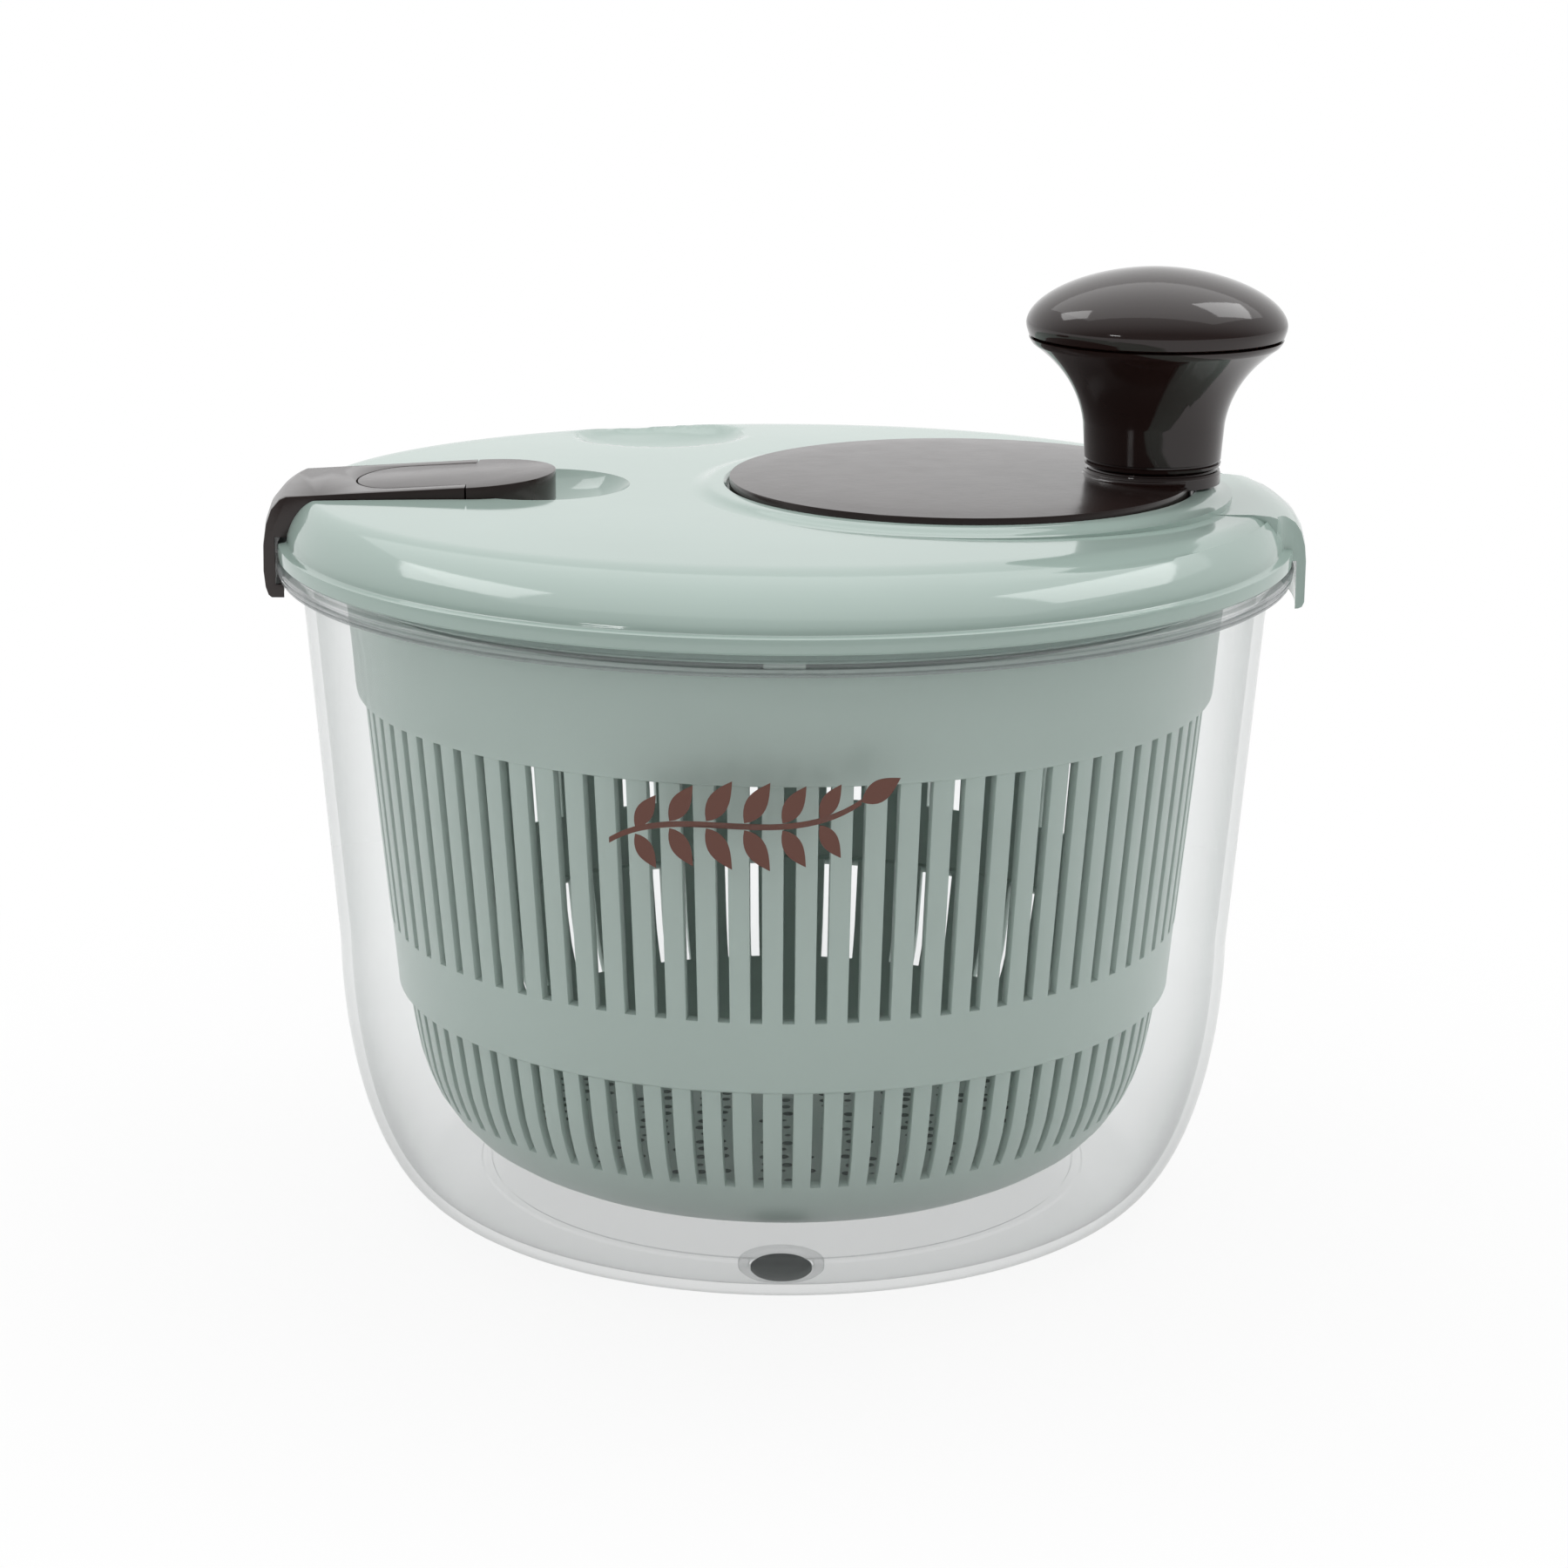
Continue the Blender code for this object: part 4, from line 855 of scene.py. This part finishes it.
def lever_side(button_only):
    """The lever from the side: the strap and hook, or the button alone."""
    rim_top, tip_top = LID_TOP + 0.4, LID_TOP + 2.9
    slope = (tip_top - rim_top) / (LEVER_TIP_X - PIN_X)

    def top(x):
        return rim_top + slope * (x - PIN_X)

    if button_only:
        tip, end = LEVER_TIP_X + 1, TONGUE_END_X - 2
        return [(tip, tip_top), (end, top(end)), (end, LEVER_LOW), (tip, LEVER_LOW)]
    ear = PIN_Z - 2.75
    far, near, behind_pin = HOOK_REACH - 3, -FLANGE_RADIUS + 5, PIN_X + 2.8
    return [(LEVER_SHOULDER_X, top(LEVER_SHOULDER_X)), (PIN_X, rim_top), (far, top(far)),
            (far, HOOK_LOW), (near, HOOK_LOW), (near, ear), (behind_pin, ear),
            (behind_pin, LEVER_LOW), (LEVER_SHOULDER_X, LEVER_LOW)]


def tongue(margin):
    """The rounded end of the button, between the strap's rails."""
    start = TONGUE_END_X + TONGUE_ROUND
    return arc((start, 0), (TONGUE_ROUND + margin, RAIL_EDGE + margin), 90, 270, 33)


def make_latch():
    half = LEVER_HALF
    hook = outline_solid("latch_strap", lever_side(False), -half, half, upright=True)
    ceiling, lip = PIN_Z - 2.95, HOOK_LOW + 2.5
    over_brim, grip = BRIM_RADIUS + 0.5, FLANGE_RADIUS - 1.2
    room = [(0, ceiling), (over_brim, ceiling), (over_brim, lip), (grip, lip),
            (grip, HOOK_LOW - 5), (0, HOOK_LOW - 5)]
    cut(hook, turned("rim_room", room, 256))
    top = LID_TOP + 0.8
    outside = [(0, top + 9), (84, top + 9), (90.5, top + 0.3), (93.2, top - 0.3),
               (95.4, top - 1.3), (97.0, top - 3.2), (98.0, top - 6), (98.6, top - 10),
               (98.7, HOOK_LOW + 5), (98.4, HOOK_LOW + 2), (97.9, HOOK_LOW + 0.5),
               (97.2, HOOK_LOW - 0.1), (0, HOOK_LOW - 0.1)]
    combine(hook, "INTERSECT", turned("round_outside", outside, 256))
    past = LEVER_SHOULDER_X + 2
    low, high = PIN_Z - 5, LID_TOP + 10
    window = tongue(0) + [(past, -RAIL_EDGE), (past, RAIL_EDGE)]
    cut(hook, outline_solid("tongue_window", window, low, high))
    soften(hook, 0.45, 40, 3)
    finish_piece(hook, BROWN_SATIN, "latch", 35, ["latch_hook"])
    plan = tongue(-GAP)
    plan += [(LEVER_SHOULDER_X, -RAIL_EDGE + GAP), (LEVER_SHOULDER_X + GAP, -half)]
    plan += arc((LEVER_TIP_X - half, 0), half, -90, 90, 49)
    plan += [(LEVER_SHOULDER_X + GAP, half), (LEVER_SHOULDER_X, RAIL_EDGE - GAP)]
    button = outline_solid("latch_tongue", plan, low, high)
    side = outline_solid("side_view", lever_side(True), -half - 1, half + 1, upright=True)
    combine(button, "INTERSECT", side)
    soften(button, 0.5, 40, 3)
    finish_piece(button, BROWN_SATIN, "latch", 35, ["latch_button"])


def make_spring():
    """The spring under the lever, as a copy of the CAD spring's mesh."""
    spring = bpy.data.objects.new("lever_spring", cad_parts["latch_spring"].data.copy())
    bpy.context.collection.objects.link(spring)
    edit(spring)
    bpy.ops.mesh.select_all(action="SELECT")
    bpy.ops.mesh.remove_doubles(threshold=MERGE)
    bpy.ops.mesh.select_all(action="DESELECT")
    bpy.ops.object.mode_set(mode="OBJECT")
    finish_piece(spring, STEEL, "lid", 40, ["latch_spring"])
    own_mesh(spring)


# ---------------------------------------------------------------- the print on the bowl

def on_bowl(obj):
    """Bends a flat print, drawn facing the front, on to the bowl's outside."""
    proud, sunk = 0.06, -0.04
    for vertex in obj.data.vertices:
        across, up = vertex.co.x / MM, vertex.co.z / MM
        radius = wall_radius(up) + (proud if vertex.co.y < 0 else sunk)
        vertex.co.y = -math.sqrt(radius * radius - across * across) * MM


def leaf_outline(base, tip, width):
    """A pointed leaf from base to tip."""
    along = (tip[0] - base[0], tip[1] - base[1])
    length = math.hypot(*along)
    side = (-along[1] / length, along[0] / length)
    shares = [i / 10 for i in range(11)]

    def edge(share, hand):
        swell = width / 2 * math.sin(math.pi * share ** 0.85) * hand
        return tuple(base[k] + along[k] * share + side[k] * swell for k in (0, 1))

    return [edge(share, 1) for share in shares] + [edge(share, -1) for share in shares[-2:0:-1]]


PRINT_PLACE = (-8.9, 95.5)
PRINT_SCALE = (1.1, 1.25)
STEM_HALF = 0.42


def make_print():
    """A plain sprig of leaves printed on the bowl's front."""
    stem = bezier((-19, -3.4), (-8, 3.6), (8, -4.2), (20, 3.2), 29)
    shapes = [[(x, y + STEM_HALF) for x, y in stem]
              + [(x, y - STEM_HALF) for x, y in reversed(stem)]]
    for index, at in enumerate(range(3, 27, 4)):
        x, y = stem[at]
        size = 1.0 - abs(index - 2.5) * 0.08
        for hand in (1, -1):
            tip = (x + 4.6 * size, y + 6.6 * hand * size)
            shapes.append(leaf_outline((x + 0.4, y + 0.5 * hand), tip, 3.3 * size))
    shapes.append(leaf_outline((20.0, 3.2), (26.0, 6.4), 3.2))
    for number, shape in enumerate(shapes):
        outline = [(PRINT_PLACE[0] + x * PRINT_SCALE[0], PRINT_PLACE[1] + y * PRINT_SCALE[1])
                   for x, y in shape]
        piece = outline_solid("sprig_%d" % (number + 1), outline, -0.5, 0.5, upright=True)
        on_bowl(piece)
        finish_piece(piece, PRINT, "bowl", 30)


make_bowl()
make_basket()
make_lid()
make_crank()
make_knob()
make_latch()
make_spring()
make_print()

CARRIED = {
    STEEL: ["housing_screw_1", "housing_screw_2", "housing_screw_3", "housing_screw_4",
            "rotor_washer", "rotor_screw", "latch_pin", "gear_screw", "knob_pin"],
    NYLON: ["crank_bush", "drive_gear", "pinion_gear"],
    AQUA_SATIN: ["gear_housing", "drive_plate"],
}
for material, nodes in CARRIED.items():
    for node in nodes:
        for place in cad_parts[node].material_slots:
            place.material = material
